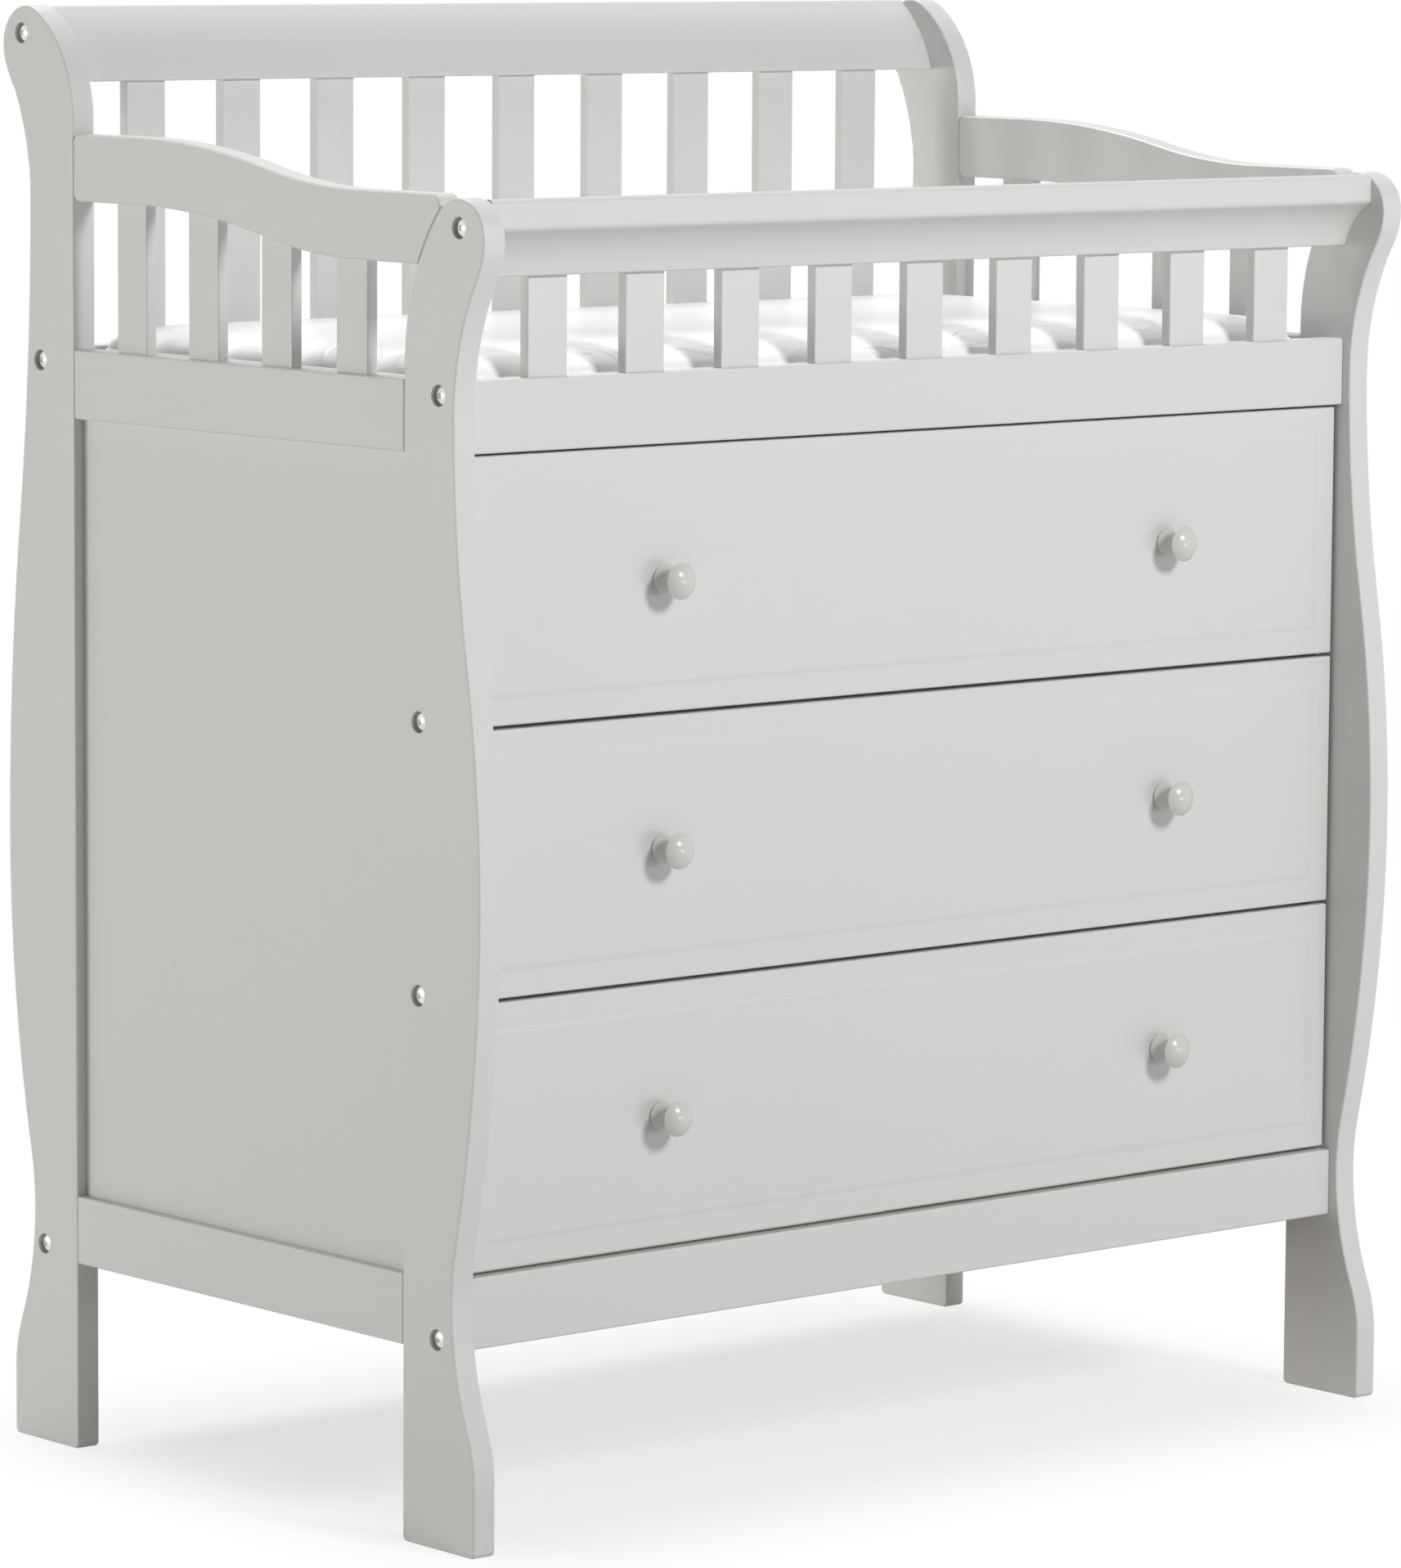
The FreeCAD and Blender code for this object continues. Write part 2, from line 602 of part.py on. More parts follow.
def drill_rail_ends(body, name, low):
    """Bolt holes in both ends of a rail and the cross holes of their barrel nuts."""
    along, height, nut_way = FRAME_BOLTS[name]
    local_y = f"{along} - {low[1]}"
    local_z = f"{height} - {low[2]}"
    depth = f"bolt_length - post_thick + {counterbore_depth} + hole_gap"
    for end_x, inwards, nut_x in ((0, "x", "nut_distance"), (between, "-x", f"{between} - nut_distance")):
        cut_round(body, "BoltHole", "bolt_radius + hole_gap", depth, (end_x, local_y, local_z), inwards)
        if nut_way == "-z":
            nut_at = (nut_x, local_y, f"{local_z} + nut_length / 2 + fit_gap")
        elif nut_way == "y":
            nut_at = (nut_x, f"{local_y} - nut_length / 2 - fit_gap", local_z)
        else:
            nut_at = (nut_x, f"{local_y} + nut_length / 2 + fit_gap", local_z)
        cut_round(body, "NutHole", "nut_radius + hole_gap", "nut_hole_length", nut_at, nut_way)


def straight_rail(name, plane, base, way):
    """A straight rail between the posts; way is -1 at the front and 1 at the back."""
    low = (f"-{inner_x}", f"({way} * {plane} - rail_thick / 2)", base)
    body = board(name, (between, "rail_thick", "rail_height"), low)
    drill_rail_ends(body, name, low)
    return body


def long_slat_start(index):
    """Left edge of a front or back slat, from the middle."""
    pitch = f"({between} - 2 * long_slat_margin) / (long_slat_count - 1)"
    return f"(({index} - (long_slat_count - 1) / 2) * {pitch} - slat_width / 2)"


def make_moulding(name, plane, base, way):
    """A moulded top rail: a leaning round inner face, a crown, a nose and a hollow under the nose."""
    inner = value(f"{plane} - rail_thick / 2")
    foot = value(f"{plane} + rail_thick / 2")
    nose = foot + value("moulding_nose")
    low = value(base)
    high = low + value("moulding_height")
    crown = value("moulding_crown")
    lip_base = high - value("moulding_lip")

    # The inner face is an arc from the inner bottom edge that runs into the crown without a corner
    corner = Vector(inner, low, 0)
    crown_centre = Vector(nose - crown, high - crown, 0)
    sweep = value("moulding_sweep")
    apart = crown_centre - corner
    along = (sweep ** 2 - (sweep - crown) ** 2 + apart.Length ** 2) / (2 * apart.Length)
    aside = math.sqrt(sweep ** 2 - along ** 2)
    unit = apart / apart.Length
    centre = corner + unit * along + Vector(unit.y, -unit.x, 0) * aside
    join = centre + (crown_centre - centre).normalize() * sweep
    cove = Vector(nose - foot, lip_base - low, 0)
    hollow = Vector(foot, low, 0) + cove / 2 + Vector(-cove.y, cove.x, 0).normalize() * value("moulding_cove")

    outline = Outline(way * inner, low)
    outline.line(way * foot, low)
    outline.arc((way * hollow.x, hollow.y), (way * nose, lip_base))
    outline.line(way * nose, high - crown)
    outline.arc_about((way * crown_centre.x, crown_centre.y), (way * crown_centre.x, high))
    outline.arc_about((way * crown_centre.x, crown_centre.y), (way * join.x, join.y))
    outline.arc_about((way * centre.x, centre.y), (way * inner, low))
    body = new_body(name, (f"-{inner_x}", 0, 0))
    slab = pad(body, draw(body, "YZ_Plane", outline.curves), between)
    for height, radius in ((low, "edge_round"), (lip_base, "moulding_lip_round")):
        slab = soften(body, slab, radius, lambda edge: edge.BoundBox.XLength > TOUCH
                      and abs(edge.BoundBox.ZMin - height) < TOUCH)
    drill_rail_ends(body, name, (f"-{inner_x}", 0, 0))
    for index in range(round(value("long_slat_count"))):
        cut_box(body, f"Mortise{index + 1}",
                ("slat_width + 2 * fit_gap", "slat_thick + 2 * fit_gap", "mortise_depth"),
                (f"{inner_x} + {long_slat_start(index)} - fit_gap",
                 f"{way} * {plane} - slat_thick / 2 - fit_gap", base))
    return body


def make_gallery(end, plane, top_base, way):
    """The rails and slats of the front or back gallery."""
    make_moulding(f"{end}_top_rail", plane, top_base, way)
    lower = straight_rail(f"{end}_lower_rail", plane, "tray_rail_base", way)
    groove_y = "rail_thick - groove_depth" if way < 0 else "0"
    cut_box(lower, "BoardGroove", (between, "groove_depth", "board_thick + 2 * fit_gap"),
            (0, groove_y, "board_rise - fit_gap"))
    slats = []
    for index in range(round(value("long_slat_count"))):
        start = long_slat_start(index)
        cut_box(lower, f"Mortise{index + 1}",
                ("slat_width + 2 * fit_gap", "slat_thick + 2 * fit_gap", "mortise_depth"),
                (f"{inner_x} + {start} - fit_gap", "(rail_thick - slat_thick) / 2 - fit_gap",
                 "rail_height - mortise_depth"))
        slats.append(board(f"{end}_slat_{index + 1}",
                           ("slat_width", "slat_thick",
                            f"{top_base} - {tray_rail_top} + 2 * (mortise_depth - fit_gap)"),
                           (start, f"{way} * {plane} - slat_thick / 2",
                            f"{tray_rail_top} - mortise_depth + fit_gap"),
                           rounding="slat_round", keep=False))
    group(f"{end}_slats", slats)


make_gallery("front", front_plane, front_top_rail_base, -1)
make_gallery("back", back_plane, back_top_rail_base, 1)
straight_rail("front_apron", front_plane, "bottom_rail_base", -1)
straight_rail("back_bottom_rail", back_plane, "bottom_rail_base", 1)

for drawer, name in ((1, "upper_divider"), (2, "lower_divider")):
    low = (f"-{inner_x}", divider_y, f"({divider_middle(drawer)} - divider_thick / 2)")
    rail = board(name, (between, "divider_depth", "divider_thick"), low)
    drill_rail_ends(rail, name, low)

board("back_panel",
      (between, "back_panel_thick", f"{board_base} - bottom_rail_base - fit_gap"),
      (f"-{inner_x}", back_panel_y, "bottom_rail_base"), rounding=None)
board("tray_board",
      (f"{between} - 2 * fit_gap",
       f"{front_plane} + {back_plane} - rail_thick + 2 * (groove_depth - fit_gap)", "board_thick"),
      (f"-{inner_x} + fit_gap", f"-{front_plane} + rail_thick / 2 - groove_depth + fit_gap", board_base),
      rounding=None)

# ---------------------------------------------------------------- frame bolts and barrel nuts


def headed_pin(label, shank, length, head, thick, at, along):
    """A round shank with a low domed head; it is turned with its axis along Z, the head at the bottom."""
    rim = thick / 2
    dome = (head ** 2 + rim ** 2) / (2 * rim)
    outline = Outline(0, -thick)
    outline.arc_about((0, dome - thick), (head, rim - thick))
    outline.line(head, 0)
    outline.line(shank, 0)
    outline.line(shank, length)
    outline.line(0, length)
    return turn(label, outline.close(), at, ALONG[along])


def make_bolt(label, at, along):
    """A frame bolt with a hexagon socket in its head."""
    body = headed_pin(label, value("bolt_radius"), value("bolt_length"), value("bolt_head_radius"),
                      value("bolt_head_height"), at, along)
    corners = [Vector(value("socket_radius"), 0, 0)]
    for corner in range(6):
        corners.append(Rotation(Vector(0, 0, 1), 60 * (corner + 1)).multVec(corners[0]))
    hexagon = [Part.LineSegment(start, end) for start, end in zip(corners, corners[1:])]
    socket = draw(body, "XY_Plane", hexagon, lift="-bolt_head_height", name="Hexagon")
    recess = body.newObject("PartDesign::Pocket", "Socket")
    recess.Profile = socket
    recess.Reversed = True
    bind(recess, Length="socket_depth")
    return body


def make_nut(label, at, along):
    """A barrel nut, centred on the bolt's axis, with a cross hole for the bolt."""
    body = new_body(label, at, ALONG[along], keep=False)
    barrel = body.newObject("PartDesign::AdditiveCylinder", "Barrel")
    bind(barrel, Radius="nut_radius", Height="nut_length")
    place(barrel, (0, 0, "-nut_length / 2"))
    hole = body.newObject("PartDesign::SubtractiveCylinder", "Hole")
    bind(hole, Radius="bolt_radius + axle_clearance", Height="3 * nut_radius")
    place(hole, ("-1.5 * nut_radius", 0, 0), ALONG["x"])
    return body


bolts = []
nuts = []
for side, sign in SIDES:
    inwards = "x" if sign < 0 else "-x"
    for rail, (along, height, nut_way) in FRAME_BOLTS.items():
        bolts.append(make_bolt(f"{side}_{rail}_bolt",
                               (f"{sign} * (outer_width / 2 - {counterbore_depth})", along, height), inwards))
        nuts.append(make_nut(f"{side}_{rail}_nut",
                             (f"{sign} * ({inner_x} - nut_distance)", along, height), nut_way))
group("frame_bolts", bolts)
group("barrel_nuts", nuts)

# ---------------------------------------------------------------- drawers

box_x = f"({inner_x} - runner_gap)"
box_inner_x = f"({box_x} - box_board)"
channel_front = f"({front_back_y} + channel_front_gap)"
channel_length = f"({back_panel_y} - channel_rear_gap - {channel_front})"
knob_x = f"({inner_x} - knob_margin)"


def box_base(drawer):
    return f"({front_base(drawer)} + box_rise)"


def make_front(drawer):
    """A drawer front with a raised field, a groove for the bottom and holes for the knob screws."""
    low = (f"-({inner_x} - front_gap)", margin_y, front_base(drawer))
    width = f"({between} - 2 * front_gap)"
    body = board(f"drawer_{drawer}_front", (width, "front_thick", front_height), low)
    field = body.newObject("PartDesign::AdditiveWedge", "Field")
    bind(field, Xmin="field_margin", Xmax=f"{width} - field_margin",
         Zmin="field_margin", Zmax=f"{front_height} - field_margin",
         X2min="field_margin + field_slope", X2max=f"{width} - field_margin - field_slope",
         Z2min="field_margin + field_slope", Z2max=f"{front_height} - field_margin - field_slope",
         Ymin=0, Ymax="field_rise")
    # The wedge narrows along its own Y, so it is turned half round to narrow towards -Y
    place(field, (width, 0, 0), Rotation(Vector(0, 0, 1), 180))
    cut_box(body, "BottomGroove",
            (f"2 * ({box_inner_x} + bottom_groove)", "bottom_groove", "bottom_thick + 2 * fit_gap"),
            (f"{inner_x} - front_gap - {box_inner_x} - bottom_groove", "front_thick - bottom_groove",
             "box_rise + bottom_rise - fit_gap"))
    for side, sign in SIDES:
        cut_round(body, "ScrewHole", "screw_radius + hole_gap", "front_thick + field_rise",
                  (f"{inner_x} - front_gap + {sign} * {knob_x}", "front_thick",
                   f"{front_height} / 2"), "-y")
    return body


def make_box(drawer):
    """The sides, back and bottom of a drawer box."""
    base = box_base(drawer)
    depth = f"({box_end} - {front_back_y})"
    groove = "bottom_thick + 2 * fit_gap"
    for side, sign in SIDES:
        low_x = f"-{box_x}" if sign < 0 else box_inner_x
        panel = board(f"drawer_{drawer}_{side}_side", ("box_board", depth, "box_height"),
                      (low_x, front_back_y, base), rounding=None)
        cut_box(panel, "BottomGroove", ("bottom_groove", depth, groove),
                ("box_board - bottom_groove" if sign < 0 else 0, 0, "bottom_rise - fit_gap"))
    rear = board(f"drawer_{drawer}_back", (f"2 * {box_inner_x}", "box_board", "box_height"),
                 (f"-{box_inner_x}", f"{box_end} - box_board", base), rounding=None)
    cut_box(rear, "BottomGroove", (f"2 * {box_inner_x}", "bottom_groove", groove),
            (0, 0, "bottom_rise - fit_gap"))
    board(f"drawer_{drawer}_bottom",
          (f"2 * ({box_inner_x} + bottom_groove - fit_gap)",
           f"{depth} - box_board + 2 * (bottom_groove - fit_gap)", "bottom_thick"),
          (f"-({box_inner_x} + bottom_groove - fit_gap)", f"{front_back_y} - bottom_groove + fit_gap",
           f"{base} + bottom_rise"), rounding=None)


def make_knob(label, at):
    """A turned knob: a foot, a hollow neck, a collar and a flat domed head."""
    foot = value("knob_foot_radius")
    foot_top = value("knob_foot_height")
    collar = value("knob_collar_radius")
    collar_base = value("knob_collar_base")
    collar_top = collar_base + value("knob_collar_height")
    groove = value("knob_groove")
    head = value("knob_radius")
    length = value("knob_length")
    crown = value("knob_crown")
    rim = length - crown
    under = (value("knob_under_radius"), (collar_top + groove + rim) / 2)
    dome = (head ** 2 + crown ** 2) / (2 * crown)
    hole = value("screw_radius + axle_clearance")
    bite = value("screw_bite + running_gap")
    outline = Outline(hole, 0)
    outline.line(foot - value("knob_foot_taper"), 0)
    outline.line(foot, foot_top)
    outline.arc((value("knob_waist_radius"), value("knob_waist_height")), (collar, collar_base))
    outline.line(collar, collar_top)
    outline.line(collar - groove, collar_top + groove)
    outline.arc(under, (head, rim))
    outline.arc_about((0, length - dome), (0, length))
    outline.line(0, bite)
    outline.line(hole, bite)
    return turn(label, outline.close(), at, ALONG["-y"])


def make_screw(label, at):
    """A knob's screw, through the drawer front into the knob."""
    return headed_pin(label, value("screw_radius"), value("front_thick + field_rise + screw_bite"),
                      value("screw_head_radius"), value("screw_head_height"), at, "-y")


def make_roller(label, at):
    """A roller with a bore, its axis along X; it stands on its inner end."""
    bore = value("axle_radius + axle_clearance")
    rim = value("roller_radius")
    width = value(roller_width)
    chamfer = value("roller_chamfer")
    outline = Outline(bore, 0)
    outline.line(rim - chamfer, 0)
    outline.line(rim, chamfer)
    outline.line(rim, width - chamfer)
    outline.line(rim - chamfer, width)
    outline.line(bore, width)
    return turn(label, outline.close(), at, ALONG["x"])


# Across the runners, outwards from the box: its runner's upright, the rollers, the channel's web
upright_out = f"({box_x} + runner_sheet)"
web_in = f"({inner_x} - runner_sheet)"
roller_width = "(runner_gap - 2 * runner_sheet - 2 * side_gap)"


def across(sign, inner, width):
    """Low x of something that starts at a distance from the middle, on either side."""
    return f"{inner}" if sign > 0 else f"-({inner}) - {width}"


def make_channel(drawer, side, sign):
    """The carcass's half of a runner: an open channel with the front roller's axle."""
    base = f"({box_base(drawer)} - channel_drop)"
    flange = f"({inner_x} - {upright_out} - side_gap)"
    body = new_body(f"channel_{drawer}_{side}", (0, channel_front, base), keep=False)
    add = "PartDesign::AdditiveBox"
    add_box(body, add, "Web", ("runner_sheet", channel_length, "channel_height"),
            (across(sign, web_in, "runner_sheet"), 0, 0))
    for name, height in (("LowerFlange", "0"), ("UpperFlange", "channel_height - runner_sheet")):
        add_box(body, add, name, (flange, channel_length, "runner_sheet"),
                (across(sign, f"{upright_out} + side_gap", flange), 0, height))
    axle = body.newObject("PartDesign::AdditiveCylinder", "Axle")
    length = f"({roller_width} + side_gap)"
    bind(axle, Radius="axle_radius", Height=length)
    place(axle, (across(sign, f"{web_in} - {length}", length), "roller_inset",
                 "runner_sheet + running_gap + roller_radius"), ALONG["x"])
    return body


def make_slider(drawer, side, sign):
    """The drawer's half of a runner: a ledge under the box, an upright, a flange and the rear axle."""
    base = f"({box_base(drawer)} - runner_sheet)"
    length = f"({box_end} - {front_back_y})"
    flange_base = "(2 * roller_radius + 2 * running_gap + 2 * runner_sheet - channel_drop)"
    body = new_body(f"slider_{drawer}_{side}", (0, front_back_y, base), keep=False)
    add = "PartDesign::AdditiveBox"
    ledge = "(ledge_width + runner_sheet)"
    add_box(body, add, "Ledge", (ledge, length, "runner_sheet"),
            (across(sign, f"{box_x} - ledge_width", ledge), 0, 0))
    add_box(body, add, "Upright", ("runner_sheet", length, f"{flange_base} + runner_sheet"),
            (across(sign, box_x, "runner_sheet"), 0, 0))
    flange = f"({roller_width} + side_gap)"
    add_box(body, add, "Flange", (flange, length, "runner_sheet"),
            (across(sign, upright_out, flange), 0, flange_base))
    axle = body.newObject("PartDesign::AdditiveCylinder", "Axle")
    bind(axle, Radius="axle_radius", Height=flange)
    place(axle, (across(sign, upright_out, flange), f"{length} - roller_inset",
                 "2 * runner_sheet + running_gap + roller_radius - channel_drop"), ALONG["x"])
    return body


channels = []
for drawer in range(1, round(value("drawer_count")) + 1):
    make_front(drawer)
    make_box(drawer)
    knobs = []
    screws = []
    sliders = []
    front_rollers = []
    rear_rollers = []
    axle_z = f"{box_base(drawer)} - channel_drop + runner_sheet + running_gap + roller_radius"
    roller_start = f"{upright_out} + side_gap"
    for side, sign in SIDES:
        knob_z = f"{front_base(drawer)} + {front_height} / 2"
        knobs.append(make_knob(f"knob_{drawer}_{side}", (f"{sign} * {knob_x}", field_y, knob_z)))
        screws.append(make_screw(f"screw_{drawer}_{side}", (f"{sign} * {knob_x}", front_back_y, knob_z)))
        channels.append(make_channel(drawer, side, sign))
        sliders.append(make_slider(drawer, side, sign))
        roller_x = across(sign, roller_start, roller_width)
        front_rollers.append(make_roller(f"front_roller_{drawer}_{side}",
                                         (roller_x, f"{channel_front} + roller_inset", axle_z)))
        rear_rollers.append(make_roller(f"rear_roller_{drawer}_{side}",
                                        (roller_x, f"{box_end} - roller_inset", axle_z)))
    group(f"drawer_{drawer}_knobs", knobs)
    group(f"drawer_{drawer}_knob_screws", screws)
    group(f"drawer_{drawer}_runners", sliders)
    group(f"drawer_{drawer}_rear_rollers", rear_rollers)
    group(f"front_rollers_{drawer}", front_rollers)
group("carcass_runners", channels)

# ---------------------------------------------------------------- pad


def rounded_rectangle(half_x, half_y, corner):
    """A rectangle with round corners about the origin."""
    right = half_x - corner
    back = half_y - corner
    outline = Outline(right, -half_y)
    outline.arc_about((right, -back), (half_x, -back))
    outline.line(half_x, back)
    outline.arc_about((right, back), (right, half_y))
    outline.line(-right, half_y)
    outline.arc_about((-right, back), (-half_x, back))
    outline.line(-half_x, -back)
    outline.arc_about((-right, -back), (-right, -half_y))
    return outline.close()


def make_pad():
    """A flat foam pad in a cover: drawn-in sides, a widest line and a crowned top."""
    half_x = value(f"{inner_x} - pad_gap")
    half_y = value(f"({front_plane} + {back_plane} - rail_thick) / 2 - pad_gap")
    thick = value("pad_thick")
    widest = value("pad_seam_height")
    shoulder = value("pad_shoulder")
    draw_in = value("pad_edge_draw")
    crown_width = value("pad_crown_width")
    body = new_body("changing_pad", (0, f"({back_plane} - {front_plane}) / 2",
                                     f"{board_base} + board_thick + pad_lift_gap"))
    # Each level is a height and how far in the side lies there: up to the widest line, the shoulder, the top
    levels = [(0, draw_in)]
    steps = round(value("pad_steps"))
    shares = [step / steps for step in range(1, steps + 1)]
    levels += [(widest * share, draw_in * (1 - share) ** 2) for share in shares]
    levels += [(widest + (shoulder - widest) * share, draw_in * share ** 2) for share in shares]
    levels += [(shoulder + (thick - shoulder) * (2 - share) * share, draw_in + crown_width * share)
               for share in shares]
    sketches = []
    for height, inset in levels:
        curves = rounded_rectangle(half_x - inset, half_y - inset, value("pad_corner"))
        sketches.append(draw(body, "XY_Plane", curves, lift=height, name="Level"))
    doc.recompute()
    loft = body.newObject("PartDesign::AdditiveLoft", "Cushion")
    loft.Profile = sketches[0]
    loft.Sections = sketches[1:]
    loft.Ruled = True
    return body


make_pad()

# ---------------------------------------------------------------- check and export

doc.recompute()
failed = [thing.Label for thing in doc.Objects if "Invalid" in thing.State or "Error" in thing.State]
for node in nodes:
    if node.Shape.isNull() or not node.Shape.isValid():
        failed.append(node.Label)
if failed:
    raise RuntimeError("these did not build: " + ", ".join(failed))

os.makedirs("parts", exist_ok=True)
for node in nodes:
    node.Shape.exportStep(f"parts/{node.Label}.step")
    box = node.Shape.BoundBox
    print(f"{node.Label:26s} {len(node.Shape.Solids):3d} solid(s)  "
          f"x {box.XMin:8.2f} {box.XMax:8.2f}  y {box.YMin:8.2f} {box.YMax:8.2f}  "
          f"z {box.ZMin:8.2f} {box.ZMax:8.2f}")
print(f"{len(nodes)} nodes")
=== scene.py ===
# %% [markdown]
# # A changing dresser
#
# The CAD model already gives every board, slat, knob and bolt of this dresser its true size and place.
# This lesson gives them their looks: satin paint over wood, bare wood inside the drawers, plated metal, and a
# soft pad in a wipe-clean cover. Then it lights the dresser like a shop photograph.
#
# Everything is in metres. The drawers open towards -Y, +Z is up, and the floor is at zero.

import json
import math

import bmesh
import bpy
from mathutils import Matrix, Vector
from mathutils.bvhtree import BVHTree


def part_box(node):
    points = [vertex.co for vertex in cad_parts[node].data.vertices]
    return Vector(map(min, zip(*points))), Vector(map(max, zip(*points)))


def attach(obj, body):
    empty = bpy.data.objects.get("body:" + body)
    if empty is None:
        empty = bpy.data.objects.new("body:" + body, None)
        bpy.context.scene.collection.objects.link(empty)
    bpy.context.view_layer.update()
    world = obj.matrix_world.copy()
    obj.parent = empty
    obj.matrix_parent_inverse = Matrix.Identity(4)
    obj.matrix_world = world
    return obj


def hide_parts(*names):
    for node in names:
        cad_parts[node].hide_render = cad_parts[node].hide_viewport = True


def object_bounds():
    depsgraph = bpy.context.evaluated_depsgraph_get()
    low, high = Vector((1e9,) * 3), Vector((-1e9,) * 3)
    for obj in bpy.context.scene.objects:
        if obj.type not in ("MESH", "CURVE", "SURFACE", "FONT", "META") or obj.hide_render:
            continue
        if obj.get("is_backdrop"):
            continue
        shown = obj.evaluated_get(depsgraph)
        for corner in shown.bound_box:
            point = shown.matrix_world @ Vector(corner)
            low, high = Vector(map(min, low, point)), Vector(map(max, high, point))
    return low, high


MM = 1000  # millimetres in a metre

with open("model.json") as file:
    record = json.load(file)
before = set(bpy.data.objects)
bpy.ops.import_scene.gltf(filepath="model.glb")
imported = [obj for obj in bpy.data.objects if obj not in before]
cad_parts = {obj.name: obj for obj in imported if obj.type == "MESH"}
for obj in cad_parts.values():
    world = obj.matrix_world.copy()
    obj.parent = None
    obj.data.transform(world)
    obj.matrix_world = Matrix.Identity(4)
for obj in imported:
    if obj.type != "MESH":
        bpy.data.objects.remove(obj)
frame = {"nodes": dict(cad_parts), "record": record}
nodes = frame["nodes"]
cad_low, cad_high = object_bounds()
print("pieces in the CAD model:", len(nodes))
print("outer size in mm:", [round(MM * size) for size in cad_high - cad_low])

# %% [markdown]
# ## The camera
#
# A camera could be moved about until its picture looks right. This one was worked out instead, from corners
# of the dresser whose places are known, because then the near and the far corners agree at the same time.
# So the script states where that camera stood and how it was turned. A long lens from a few metres away
# keeps the upright posts nearly parallel, as furniture photographs do.

# %% Place the camera
CAMERA_AT = Vector((-3.5144, -4.0923, 1.1369))
CAMERA_TURN = math.radians(-40.59)
CAMERA_TILT = math.radians(-6.98)
CAMERA_ROLL = math.radians(0.36)
LENS_MM = 167.8
SENSOR_MM = 36
STRAIGHT_UP = Vector((0, 0, 1))

looking = Vector((-math.sin(CAMERA_TURN) * math.cos(CAMERA_TILT),
                  math.cos(CAMERA_TURN) * math.cos(CAMERA_TILT),
                  math.sin(CAMERA_TILT)))
level = looking.cross(STRAIGHT_UP).normalized()
above = level.cross(looking)
rightwards = level * math.cos(CAMERA_ROLL) + above * math.sin(CAMERA_ROLL)
upwards = above * math.cos(CAMERA_ROLL) - level * math.sin(CAMERA_ROLL)

camera = bpy.data.objects.new("camera", bpy.data.cameras.new("camera"))
camera.data.lens = LENS_MM
camera.data.sensor_width = SENSOR_MM
camera.matrix_world = Matrix.Translation(CAMERA_AT) @ Matrix(
    (rightwards, upwards, -looking)).transposed().to_4x4()
bpy.context.scene.collection.objects.link(camera)
bpy.context.scene.camera = camera
print("camera is", round(CAMERA_AT.length, 2), "m from the origin")

# %% [markdown]
# ## Arithmetic with shader nodes
#
# A finish is a small sum: a colour, plus a little unevenness, minus some wear. Nodes can do that sum, but
# a page of links is hard to read. This class wraps a node's output so that + - * on it add
# the Math nodes. Every other kind of node comes from one method, `node`.

# %% Wrap a socket
NOISE_MIDDLE = 0.5

# A Mix node has sockets of the same name for numbers, vectors and colours. These are the colours' own.
MIX_FIRST = 6
MIX_SECOND = 7
MIX_RESULT = 2


class Wire:
    """A node's output that takes part in sums."""

    def __init__(self, socket):
        self.socket = socket
        self.tree = socket.id_data

    def node(self, kind, settings=None, inputs=None, output=0):
        """Add a node: its settings first, then the values or wires of its sockets."""
        return add_node(self.tree, kind, settings, inputs, output)

    def sum(self, operation, first, second):
        return self.node("ShaderNodeMath", {"operation": operation}, {0: first, 1: second})

    def __add__(self, other):
        return self.sum("ADD", self, other)

    def __radd__(self, other):
        return self.sum("ADD", other, self)

    def __sub__(self, other):
        return self.sum("SUBTRACT", self, other)

    def __rsub__(self, other):
        return self.sum("SUBTRACT", other, self)

    def __mul__(self, other):
        return self.sum("MULTIPLY", self, other)

    def __rmul__(self, other):
        return self.sum("MULTIPLY", other, self)

    def sway(self, amount):
        """Noise as a change up and down, because noise itself stays round its middle."""
        return (self - NOISE_MIDDLE) * amount

    def ramp(self, low, high):
        """0 below low, 1 above high, and a soft step between."""
        return self.node("ShaderNodeMapRange", {"interpolation_type": "SMOOTHSTEP", "clamp": True},
                         {"Value": self, "From Min": low, "From Max": high})

    def blend(self, dark, light):
        """A colour between two, with this wire as the share of the second."""
        return self.node("ShaderNodeMix", {"data_type": "RGBA"},
                         {"Factor": self, MIX_FIRST: dark, MIX_SECOND: light}, output=MIX_RESULT)


def add_node(tree, kind, settings=None, inputs=None, output=0):
    """Add a node to a tree, and wrap the output that has this name or number."""
    made = tree.nodes.new(kind)
    for name, setting in (settings or {}).items():
        setattr(made, name, setting)
    for name, given in (inputs or {}).items():
        if isinstance(given, Wire):
            tree.links.new(given.socket, made.inputs[name])
        else:
            made.inputs[name].default_value = given
    return Wire(made.outputs[output])


# %% [markdown]
# Each finish starts in the same way: an empty tree, one shader for the surface, and the place of the point
# that is being coloured. The place is in metres and not in parts of a piece, so a pattern has one size
# everywhere. It could come from an unwrapped map of each piece instead, but then the pattern would break at
# every edge.

# %% Start a finish
def empty_tree(owner):
    """The node tree of a material or world, without the nodes that it starts with."""
    owner.use_nodes = True
    owner.node_tree.nodes.clear()
    return owner.node_tree


def show(tree, surface, output_kind="ShaderNodeOutputMaterial"):
    """Lead a shader to the tree's output."""
    tree.links.new(surface.socket, tree.nodes.new(output_kind).inputs["Surface"])


